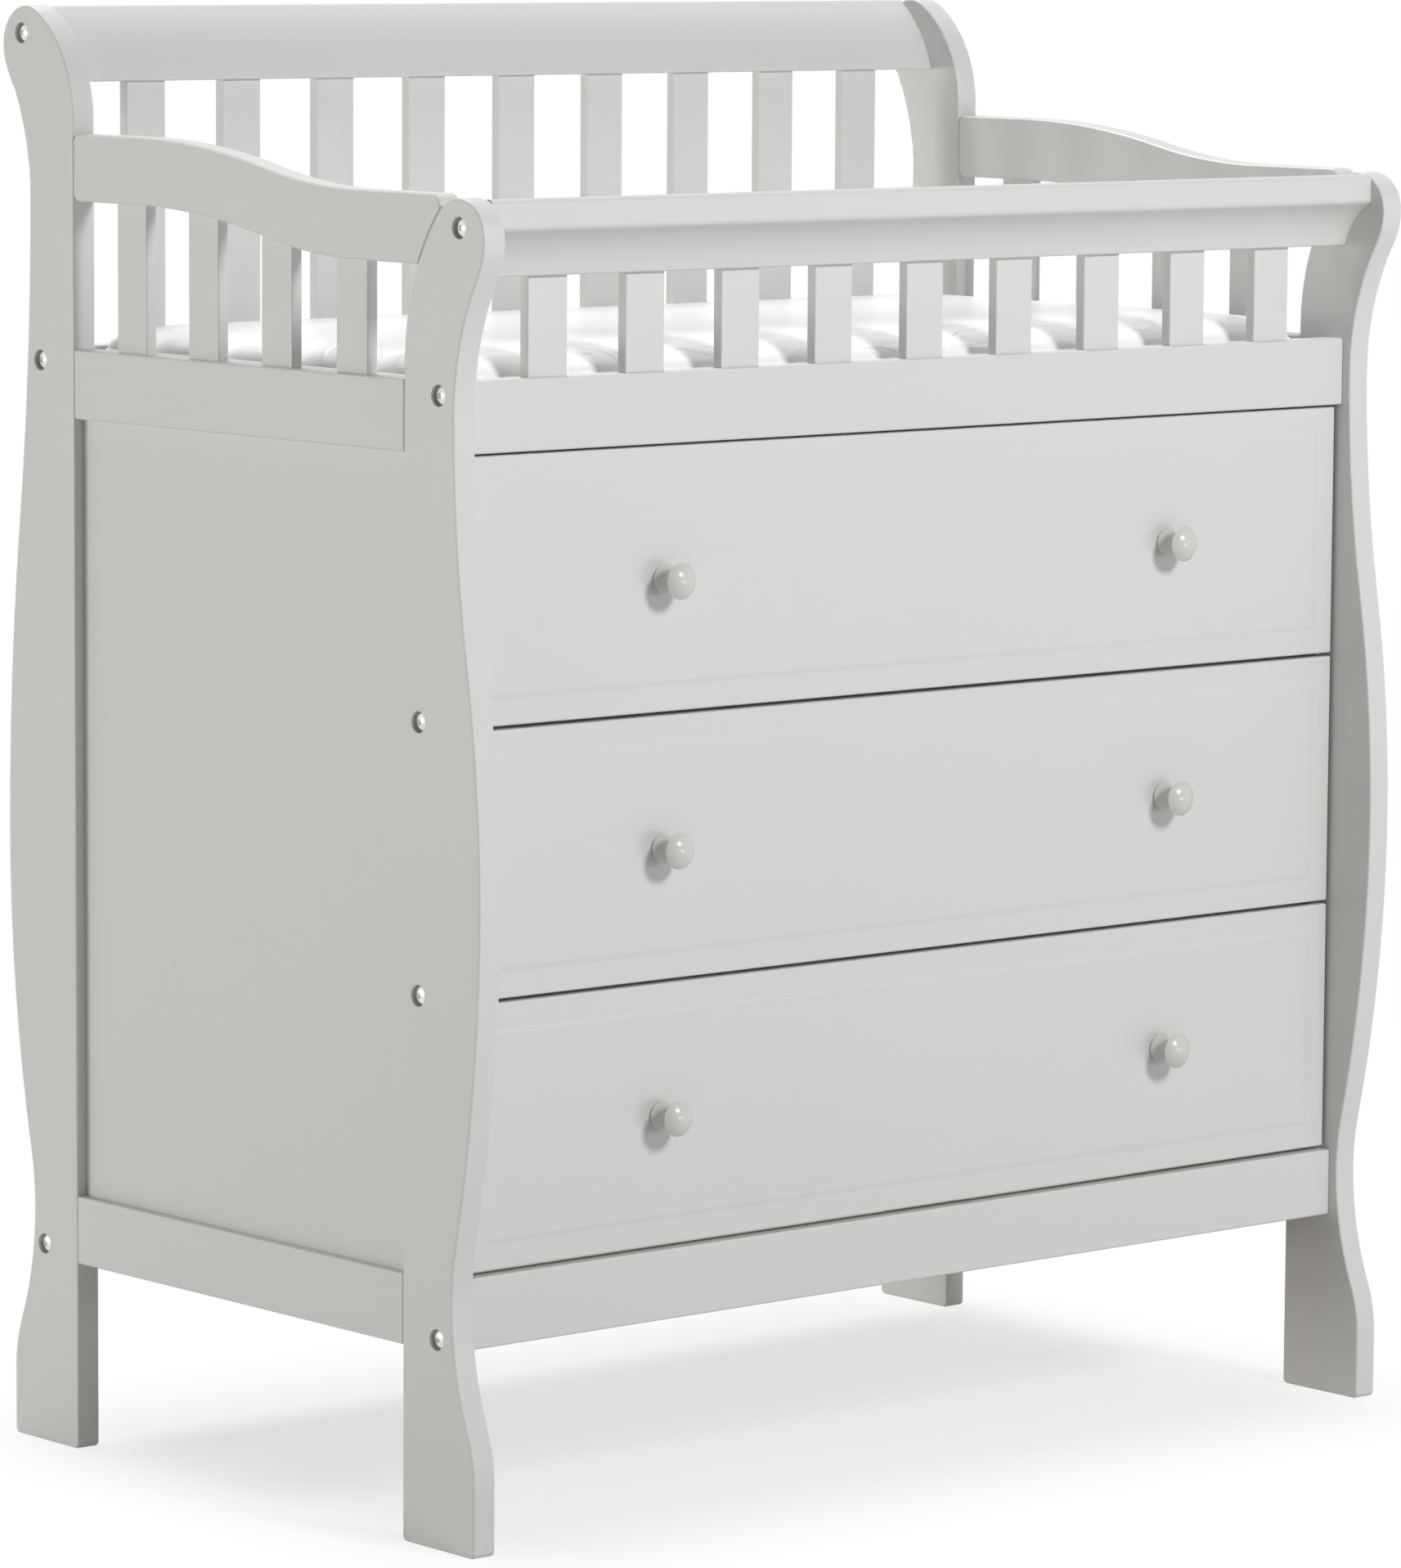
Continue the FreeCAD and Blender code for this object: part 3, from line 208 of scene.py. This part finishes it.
def new_finish(name, **constants):
    """A new material, its shader, and the place of each point as a wire."""
    material = bpy.data.materials.new(name)
    tree = empty_tree(material)
    surface = add_node(tree, "ShaderNodeBsdfPrincipled",
                       inputs={key.replace("_", " "): value for key, value in constants.items()})
    show(tree, surface)
    return material, surface.socket.node, add_node(tree, "ShaderNodeTexCoord", output="Object")


def feed(shader, **wires):
    """Connect what changes over the surface."""
    for name, wire in wires.items():
        shader.id_data.links.new(wire.socket, shader.inputs[name.replace("_", " ")])


def noise(place, scale, detail, **others):
    """Smooth noise: `scale` is about the number of lumps in a metre, `detail` the number of finer layers."""
    return place.node("ShaderNodeTexNoise",
                      inputs={"Vector": place, "Scale": scale, "Detail": detail, **others})


def draw_out(place, scales):
    """The place with a scale for each axis: a pattern on it gets long where the scale is low."""
    return place.node("ShaderNodeMapping", inputs={"Vector": place, "Scale": scales})


def bump(height, strength, depth, **others):
    """A surface that only looks raised, by a depth in metres where the height is 1."""
    return height.node("ShaderNodeBump",
                       inputs={"Strength": strength, "Distance": depth, "Height": height, **others})


def colour(red, green, blue):
    """A colour as a picture editor gives it, 0 to 255, made linear for the shader."""
    return (*(((part / 255 + 0.055) / 1.055) ** 2.4 for part in (red, green, blue)), 1.0)


# %% [markdown]
# ## Satin paint on wood
#
# The whole carcass is sprayed in one light, slightly warm grey. One flat grey would do from afar, but close
# up it looks like plastic, because sprayed paint has a fine orange-peel skin, its gloss changes a little
# from place to place, and the long grain of the wood below still shows as very faint ridges. So all three
# are noise of their own size. The grain runs along each board, so there is one paint for boards along X,
# one for boards along Y and one for upright boards. The knobs are dipped, not sprayed: their coat is
# thicker, so it's glossier. Their grey is also set a little darker.

# %% Mix the paint
PAINT_LIGHT = colour(209, 209, 207)
PAINT_DARK = colour(205, 205, 203)
PAINT_ROUGHNESS = 0.40
KNOB_LIGHT = colour(201, 201, 198)
KNOB_DARK = colour(198, 198, 195)
KNOB_ROUGHNESS = 0.20
RIDGES_ACROSS = 420.0
RIDGES_ALONG = 9.0
PAINT_CLOUDS = 3.2
PAINT_PEEL = 950.0


def mix_paint(name, axis, dark, light, roughness):
    """Paint over wood whose grain runs along one axis: 0 is X, 1 is Y, 2 is Z."""
    material, shader, place = new_finish(name, IOR=1.5)
    scales = [RIDGES_ACROSS] * 3
    scales[axis] = RIDGES_ALONG
    grain = noise(draw_out(place, scales), scale=1.0, detail=3.0)
    cloud = noise(place, PAINT_CLOUDS, detail=3.0)
    peel = noise(place, PAINT_PEEL, detail=2.0)
    feed(shader, Base_Color=(cloud * 0.7 + grain * 0.3).blend(dark, light),
         Roughness=roughness + cloud.sway(0.16) + peel.sway(0.06),
         Normal=bump(peel * 0.5 + grain * 0.5, strength=0.12, depth=0.0004))
    return material


paint_along = [mix_paint("paint_grain_" + "xyz"[axis], axis, PAINT_DARK, PAINT_LIGHT, PAINT_ROUGHNESS)
               for axis in range(3)]
knob_paint = mix_paint("knob_paint", 1, KNOB_DARK, KNOB_LIGHT, KNOB_ROUGHNESS)
print("paints:", [paint.name for paint in paint_along + [knob_paint]])

# %% [markdown]
# ## Bare wood inside
#
# Only what is seen with the drawers shut is painted. The drawer boxes are plain sanded boards with a thin
# clear coat. Wood grain is rings of early and late growth, cut along the board. A wave texture draws such
# rings, but too evenly, so noise that is drawn out along the grain stands for them, and slower noise
# changes the tone from board to board. Pores are short dark dashes, the peaks of very fine noise.

# %% Mix the bare wood
WOOD_LIGHT = colour(222, 192, 152)
WOOD_DARK = colour(196, 160, 118)
PORE_BROWN = colour(150, 112, 76)
WOOD_STRETCH = 0.06
WOOD_TONES = 9.0
WOOD_RINGS = 70.0
WOOD_PORES = 900.0


def mix_bare_wood(axis):
    """Lacquered wood whose grain runs along one axis: 0 is X, 1 is Y, 2 is Z."""
    material, shader, place = new_finish("bare_wood_grain_" + "xyz"[axis], IOR=1.48)
    scales = [1.0] * 3
    scales[axis] = WOOD_STRETCH
    along = draw_out(place, scales)
    drift = noise(along, WOOD_TONES, detail=2.0)
    rings = noise(along, WOOD_RINGS, detail=4.0, Distortion=0.6)
    dashes = noise(along, WOOD_PORES, detail=1.0).ramp(0.60, 0.70)
    wood = (rings * 0.65 + drift * 0.35).ramp(0.3, 0.7).blend(WOOD_DARK, WOOD_LIGHT)
    feed(shader, Base_Color=(dashes * 0.5).blend(wood, PORE_BROWN),
         Roughness=0.5 + rings.sway(0.2) + dashes * 0.1,
         Normal=bump(rings * 0.6 - dashes * 0.6, strength=0.2, depth=0.0003))
    return material


bare_wood_along = [mix_bare_wood(axis) for axis in range(3)]
print("bare woods:", [wood.name for wood in bare_wood_along])

# %% [markdown]
# ## Metal and nylon
#
# The bolts and nuts are nickel plated: bright, with a very fine, even grain. The runners are pressed from
# zinc-plated strip, duller, with a faint rolled streak along their length. A metal with one even gloss would
# look like a mirror or like grey paint, so both get smudges and their own streaks. The rollers are off-white
# nylon, which is smooth but not glossy and lets a little light in.

# %% Mix the metals
NICKEL = colour(226, 226, 224)
NICKEL_GRAIN = (900.0, 900.0, 900.0)
ZINC = colour(200, 203, 205)
ZINC_STREAKS = (1500.0, 12.0, 1500.0)
METAL_SMUDGES = 55.0
DULL_SHARE = 0.86


def mix_metal(name, tint, roughness, streaks):
    """Plated metal; `streaks` is how many marks a metre has along X, Y and Z."""
    material, shader, place = new_finish(name, Metallic=1.0, IOR=1.5)
    streak = noise(draw_out(place, streaks), scale=1.0, detail=2.0)
    smudge = noise(place, METAL_SMUDGES, detail=3.0)
    dull = (*(DULL_SHARE * part for part in tint[:3]), 1.0)
    feed(shader, Base_Color=smudge.ramp(0.35, 0.65).blend(dull, tint),
         Roughness=roughness + streak.sway(0.12) + smudge.sway(0.10),
         Normal=bump(streak, strength=0.1, depth=0.0002))
    return material


nickel = mix_metal("nickel_plate", NICKEL, 0.16, NICKEL_GRAIN)
zinc = mix_metal("zinc_plated_strip", ZINC, 0.34, ZINC_STREAKS)
print("metals:", [nickel.name, zinc.name])

# %% Mix the nylon
NYLON_LIGHT = colour(232, 231, 225)
NYLON_DARK = colour(222, 220, 212)
NYLON_CLOUDS = 120.0
NYLON_SKIN = 1400.0


def mix_nylon():
    """The rollers' moulded nylon."""
    material, shader, place = new_finish("nylon", IOR=1.53, Subsurface_Weight=0.05)
    cloud = noise(place, NYLON_CLOUDS, detail=2.0)
    skin = noise(place, NYLON_SKIN, detail=1.0)
    feed(shader, Base_Color=cloud.blend(NYLON_DARK, NYLON_LIGHT), Roughness=0.42 + cloud.sway(0.1),
         Normal=bump(skin, strength=0.1, depth=0.0002))
    return material


nylon = mix_nylon()
print("nylon:", nylon.name)

# %% [markdown]
# ## Give each CAD piece its finish
#
# Sixty pieces could each be given a finish by name. The CAD model's record already says which slot each piece
# takes its material from, so a loop reads it there. The paint is picked by the direction in which a board is
# longest, because that is the way its grain runs. A CAD mesh brings its own normals, which keep its flat
# faces flat and its round ones round, so it needs no smoothing here.

# %% Dress the CAD pieces
slot_of = {entry["node"]: entry["material_slot"] for entry in frame["record"]["subparts"]}


def long_axis(name):
    """The direction in which a board is longest. A row of slats is wide, but each of its slats is upright."""
    if name.endswith("_slats"):
        return 2
    low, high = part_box(name)
    return max(range(3), key=lambda axis: high[axis] - low[axis])


for name, piece in nodes.items():
    slot_name = slot_of[name]
    if name.endswith("_knobs"):
        finish = knob_paint
    elif slot_name == "paint":
        finish = paint_along[long_axis(name)]
    elif slot_name == "drawer_box":
        finish = bare_wood_along[long_axis(name)]
    elif slot_name == "roller":
        finish = nylon
    else:
        finish = zinc if "runner" in name else nickel
    piece.data.materials.clear()
    piece.data.materials.append(finish)
print("dressed", len(nodes), "pieces")

# %% [markdown]
# ## The pad
#
# The pad is a foam slab in a loose vinyl cover. Its top is crowned, its long edges are soft rolls, and the
# cover is a little too big, so it buckles into low waves and a few small wrinkles. Waves like these are
# hard to draw by hand. So the slab is remeshed evenly and blown up a little as cloth that is slightly larger
# than the foam, and the cloth makes its own wrinkles.

# %% Remesh the pad evenly
PAD_CELL = 0.006
SMOOTHING_SHARE = 0.5
SMOOTHING_ROUNDS = 6
WELD_DISTANCE = 0.00005

pad_low, pad_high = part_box("changing_pad")
pad_middle = (pad_low + pad_high) / 2


def apply_modifiers(piece):
    """Replace a mesh by what its modifiers make of it."""
    evaluated = piece.evaluated_get(bpy.context.evaluated_depsgraph_get())
    old = piece.data
    piece.data = bpy.data.meshes.new_from_object(evaluated)
    piece.modifiers.clear()
    bpy.data.meshes.remove(old)


pad = bpy.data.objects.new("pad_cover", nodes["changing_pad"].data.copy())
bpy.context.scene.collection.objects.link(pad)
welded = bmesh.new()
welded.from_mesh(pad.data)
bmesh.ops.remove_doubles(welded, verts=welded.verts, dist=WELD_DISTANCE)
welded.to_mesh(pad.data)
welded.free()

even = pad.modifiers.new("even", "REMESH")
even.mode = "VOXEL"
even.voxel_size = PAD_CELL
calm = pad.modifiers.new("calm", "SMOOTH")
calm.factor = SMOOTHING_SHARE
calm.iterations = SMOOTHING_ROUNDS
apply_modifiers(pad)
print("pad cover:", len(pad.data.vertices), "points")

# %% Blow up the pad's cover
COVER_SLACK = 0.014
COVER_MASS = 0.25
COVER_STRETCH = 18
COVER_SHEAR = 6
COVER_BENDING = 0.05
AIR_PRESSURE = 2.5
CLOTH_QUALITY = 6
CLOTH_STEPS = 22
MOVE_LIMIT = 0.0035
STANDS_STILL = 1e-9


def hold_near(start, moved):
    """The moved point, held by a soft limit, so that no flat spot shows where points reach it."""
    move = moved - start
    if move.length <= STANDS_STILL:
        return moved
    return start + move * (MOVE_LIMIT * math.tanh(move.length / MOVE_LIMIT) / move.length)


def blow_up(piece):
    """Let the cover swell as cloth and wrinkle, but keep each point near where it was."""
    rest = [point.co.copy() for point in piece.data.vertices]
    cloth = piece.modifiers.new("cover", "CLOTH")
    cloth.settings.quality = CLOTH_QUALITY
    cloth.settings.mass = COVER_MASS
    cloth.settings.tension_stiffness = COVER_STRETCH
    cloth.settings.compression_stiffness = COVER_STRETCH
    cloth.settings.shear_stiffness = COVER_SHEAR
    cloth.settings.bending_stiffness = COVER_BENDING
    cloth.settings.shrink_min = -COVER_SLACK
    cloth.settings.use_pressure = True
    cloth.settings.uniform_pressure_force = AIR_PRESSURE
    cloth.settings.effector_weights.gravity = 0
    cloth.collision_settings.use_collision = False
    cloth.point_cache.frame_start = 1
    cloth.point_cache.frame_end = CLOTH_STEPS
    for step in range(1, CLOTH_STEPS + 1):
        bpy.context.scene.frame_set(step)
    apply_modifiers(piece)
    bpy.context.scene.frame_set(1)
    farthest = max((point.co - start).length for point, start in zip(piece.data.vertices, rest))
    for point, start in zip(piece.data.vertices, rest):
        point.co = hold_near(start, point.co)
    print("cover moved by up to", round(MM * farthest, 1), "mm before the limit")


blow_up(pad)

# %% [markdown]
# The pad lies on its board, so its underside is flat, and it must not reach into the slats. The points are
# held to the space that its CAD solid has, and only its sides may stand a little proud of it.

# %% Settle the pad in the tray
SIDES_PROUD = 0.003

for point in pad.data.vertices:
    point.co.z = max(point.co.z, pad_low.z)
    point.co.x = min(max(point.co.x, pad_low.x - SIDES_PROUD), pad_high.x + SIDES_PROUD)
    point.co.y = min(max(point.co.y, pad_low.y - SIDES_PROUD), pad_high.y + SIDES_PROUD)
finer = pad.modifiers.new("finer", "SUBSURF")
finer.levels = finer.render_levels = 1
apply_modifiers(pad)
for face in pad.data.polygons:
    face.use_smooth = True
pad_thickness = max(point.co.z for point in pad.data.vertices) - pad_low.z
print("pad is", round(MM * pad_thickness, 1), "mm thick")

# %% [markdown]
# The cover is white vinyl with a fine pressed grain: small cells a millimetre or so across, smooth enough
# to shine softly. Where it was folded in its box, sharp little creases stay. Each crease is a place where a
# noise passes through its middle value, and a second, slower noise keeps creases in patches. Grain and
# creases are bumps only, because at this size shape would cost too many points.

# %% Mix the vinyl
VINYL_LIGHT = colour(246, 246, 246)
VINYL_DARK = colour(239, 240, 241)
VINYL_CELLS = 950.0
VINYL_CLOUDS = 14.0
CREASES = 11.0
CREASE_PATCHES = 4.0
CREASE_WIDTH = 0.05


def mix_vinyl():
    """The cover's pressed vinyl, which the welt is made of too."""
    material, shader, place = new_finish("white_vinyl", IOR=1.5, Coat_Roughness=0.22,
                                         Subsurface_Weight=0.04)
    cells = place.node("ShaderNodeTexVoronoi", {"feature": "SMOOTH_F1"},
                       {"Vector": place, "Scale": VINYL_CELLS, "Smoothness": 0.6})
    cloud = noise(place, VINYL_CLOUDS, detail=3.0)
    folds = noise(place, CREASES, detail=4.0, Roughness=0.45, Distortion=1.1)
    from_middle = folds.sum("ABSOLUTE", folds - NOISE_MIDDLE, 0)
    patches = noise(place, CREASE_PATCHES, detail=1.0).ramp(0.42, 0.58)
    creases = (1 - from_middle.ramp(0.0, CREASE_WIDTH)) * patches
    pressed = bump(cells, strength=0.16, depth=0.0004)
    feed(shader, Base_Color=cloud.blend(VINYL_DARK, VINYL_LIGHT),
         Roughness=0.34 + cloud.sway(0.12) + cells * 0.05,
         Coat_Weight=0.25 + cloud.sway(0.2),
         Normal=bump(creases, strength=0.6, depth=0.0015, Normal=pressed))
    return material


vinyl = mix_vinyl()
pad.data.materials.clear()
pad.data.materials.append(vinyl)
print("cover is made of", vinyl.name)

# %% [markdown]
# ## The pad's seam
#
# Top and bottom of the cover are sewn together with a welt, a thin cord in its own strip of vinyl, round
# the pad's widest line. A plain rounded rectangle would sink into the wavy cover in some places and hang
# off it in others. So rays are shot at the cover from outside, and the welt runs through the points where
# they land.

# %% Find the seam's line
WELT_POINTS = 360
WELT_HEIGHT = 0.013
WELT_SQUARENESS = 0.35
RAYS_FROM_OUTSIDE = 1.2

cover_tree = BVHTree.FromPolygons([point.co for point in pad.data.vertices],
                                  [tuple(face.vertices) for face in pad.data.polygons])
half_length = pad_high.x - pad_middle.x
half_depth = pad_high.y - pad_middle.y
seam_middle = Vector((pad_middle.x, pad_middle.y, pad_low.z + WELT_HEIGHT))


def squared_off(wave):
    """A sine or cosine that stays near 1 for longer, which makes an oval more like a rectangle."""
    return math.copysign(abs(wave) ** WELT_SQUARENESS, wave)


landed = []
for index in range(WELT_POINTS):
    angle = 2 * math.pi * index / WELT_POINTS
    outwards = Vector((squared_off(math.cos(angle)) * half_length,
                       squared_off(math.sin(angle)) * half_depth, 0))
    hit = cover_tree.ray_cast(seam_middle + outwards * RAYS_FROM_OUTSIDE, -outwards.normalized())[0]
    if hit is not None:
        landed.append(hit)
print("seam goes through", len(landed), "points")

# %% Sew the welt
WELT_RADIUS = 0.0016

welt_line = bpy.data.curves.new("pad_welt", "CURVE")
welt_line.dimensions = "3D"
welt_line.bevel_depth = WELT_RADIUS
welt_line.bevel_resolution = 3
spline = welt_line.splines.new("NURBS")
spline.points.add(len(landed) - 1)
for point, at in zip(spline.points, landed):
    point.co = (*at, 1.0)
spline.use_cyclic_u = True
spline.order_u = 3
welt = bpy.data.objects.new("pad_welt", welt_line)
welt.data.materials.append(vinyl)
bpy.context.scene.collection.objects.link(welt)
print("welt:", round(sum((a - b).length for a, b in zip(landed, landed[1:])), 2), "m")

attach(pad, "pad")
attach(welt, "pad")
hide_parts("changing_pad")

# %% [markdown]
# ## The floor
#
# The dresser stands in a white studio. The floor is a plain white sheet that glows as white as the
# background, and under the dresser a share of it is lit paper instead, which keeps the soft shadow. A
# curved backdrop would hide the horizon too, but its own shading would show. Here the shadow's share fades
# out a hand's width outside the feet. To fade by the distance from a box, mirror the place into one corner,
# take off the box's half sizes, and measure what is left above zero.
#
# White in the picture must not mean more light on the dresser. So the floor and the room are white only for
# the camera and for what is seen in something shiny or clear, and plainer for the light that falls on
# things.

# %% Let only some rays see white
SEEING_RAYS = ("Is Camera Ray", "Is Glossy Ray", "Is Transmission Ray")
WHITE = (1, 1, 1, 1)


def white_when_seen(tree, plainer, white):
    """A shader that is `white` for the rays that see the studio, and `plainer` for all others."""
    by_camera, by_gloss, by_glass = [add_node(tree, "ShaderNodeLightPath", output=ray) for ray in SEEING_RAYS]
    seeing = by_camera.sum("MAXIMUM", by_camera.sum("MAXIMUM", by_camera, by_gloss), by_glass)
    return add_node(tree, "ShaderNodeMixShader", inputs={0: seeing, 1: plainer, 2: white})


def grey(level):
    """A grey that is already linear, from 0 to 1."""
    return (level, level, level, 1)


# %% Lay the floor
FLOOR_HALF = 9.0
PAPER = 0.93
PLAIN_FLOOR = 0.68
SHADOW_SHARE = 0.32
FOOTPRINT_HALVES = (0.34, 0.20, 0.0)
FADE_WIDTH = 0.22

floor_mesh = bpy.data.meshes.new("floor")
floor_mesh.from_pydata([(-FLOOR_HALF, -FLOOR_HALF, 0), (FLOOR_HALF, -FLOOR_HALF, 0),
                        (FLOOR_HALF, FLOOR_HALF, 0), (-FLOOR_HALF, FLOOR_HALF, 0)], [], [(0, 1, 2, 3)])
floor = bpy.data.objects.new("floor", floor_mesh)
bpy.context.scene.collection.objects.link(floor)
floor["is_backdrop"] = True

floor_finish = bpy.data.materials.new("studio_floor")
floor_tree = empty_tree(floor_finish)
place = add_node(floor_tree, "ShaderNodeTexCoord", output="Object")
mirrored = place.node("ShaderNodeVectorMath", {"operation": "ABSOLUTE"}, {0: place})
beyond = place.node("ShaderNodeVectorMath", {"operation": "SUBTRACT"}, {0: mirrored, 1: FOOTPRINT_HALVES})
outside = place.node("ShaderNodeVectorMath", {"operation": "MAXIMUM"}, {0: beyond, 1: (0, 0, 0)})
from_dresser = place.node("ShaderNodeVectorMath", {"operation": "LENGTH"}, {0: outside}, output="Value")
lit = add_node(floor_tree, "ShaderNodeBsdfDiffuse", inputs={"Color": grey(PAPER)})
plain = add_node(floor_tree, "ShaderNodeBsdfDiffuse", inputs={"Color": grey(PLAIN_FLOOR)})
glow = add_node(floor_tree, "ShaderNodeEmission", inputs={"Color": WHITE, "Strength": 1.0})
glowing = 1 - SHADOW_SHARE + from_dresser.ramp(0.0, FADE_WIDTH) * SHADOW_SHARE
faded = add_node(floor_tree, "ShaderNodeMixShader", inputs={0: glowing, 1: lit, 2: glow})
show(floor_tree, white_when_seen(floor_tree, plain, faded))
floor.data.materials.append(floor_finish)
print("share of the shadow that the floor keeps:", SHADOW_SHARE)

# %% [markdown]
# ## The light
#
# One big lamp would light everything, but flatly. Here four softboxes do the work, and a weak light from
# everywhere fills what they leave. The key stands before the drawers and above them, and it's small, so each
# knob and each rail drops a short, clear shadow. A weak fill near the floor lifts the lowest drawer, which is
# farthest from the key. The side box stands to the left and behind the plane of the fronts, so it lights the
# left side and none of the fronts. The top box hangs high up behind the dresser, so it lights the pad and
# leaves the front of the back rail to the key.

# %% Fill the room with weak light
ROOM_LIGHT = 0.20

world = bpy.data.worlds.new("studio")
bpy.context.scene.world = world
room = empty_tree(world)
weak = add_node(room, "ShaderNodeBackground", inputs={"Color": WHITE, "Strength": ROOM_LIGHT})
full = add_node(room, "ShaderNodeBackground", inputs={"Color": WHITE, "Strength": 1.0})
show(room, white_when_seen(room, weak, full), "ShaderNodeOutputWorld")
print("room light:", ROOM_LIGHT)


# %% Hang the softboxes
def hang_softbox(name, power, wide, tall, place, target, tint=(1, 1, 1)):
    """A softbox: a glowing rectangle that faces a point on the dresser."""
    lamp = bpy.data.lights.new(name, "AREA")
    lamp.shape = "RECTANGLE"
    lamp.size = wide
    lamp.size_y = tall
    lamp.energy = power
    lamp.color = tint
    box = bpy.data.objects.new(name, lamp)
    aim = (Vector(target) - Vector(place)).to_track_quat("-Z", "Y")
    box.matrix_world = Matrix.Translation(Vector(place)) @ aim.to_matrix().to_4x4()
    bpy.context.scene.collection.objects.link(box)


hang_softbox("key", power=66, wide=0.7, tall=0.7, place=(0.3, -3.1, 2.2), target=(0, 0, 0.3))
hang_softbox("fill", power=16, wide=1.6, tall=0.5, place=(1.0, -3.6, 0.3), target=(0, 0, 0.3))
hang_softbox("side", power=131, wide=2.4, tall=0.9, place=(-5.2, 3.0, 0.65), target=(-0.4, 0, 0.4),
             tint=(1, 0.985, 0.93))
hang_softbox("top", power=101, wide=2.0, tall=1.4, place=(0.2, 1.7, 3.9), target=(0, 0, 0.8))
print("softboxes:", [lamp.name for lamp in bpy.data.lights])

bpy.context.scene.view_settings.view_transform = "Standard"

# %% [markdown]
# ## The dressed model's size
#
# The dressed model has to stay as large as the CAD model, so how far its box reaches past the CAD box is
# printed.

# %% Print how much the size grew
seen_low, seen_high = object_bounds()
growth = (*(cad_low - seen_low), *(seen_high - cad_high))
print("grown by, in mm:", [round(MM * part, 2) for part in growth])
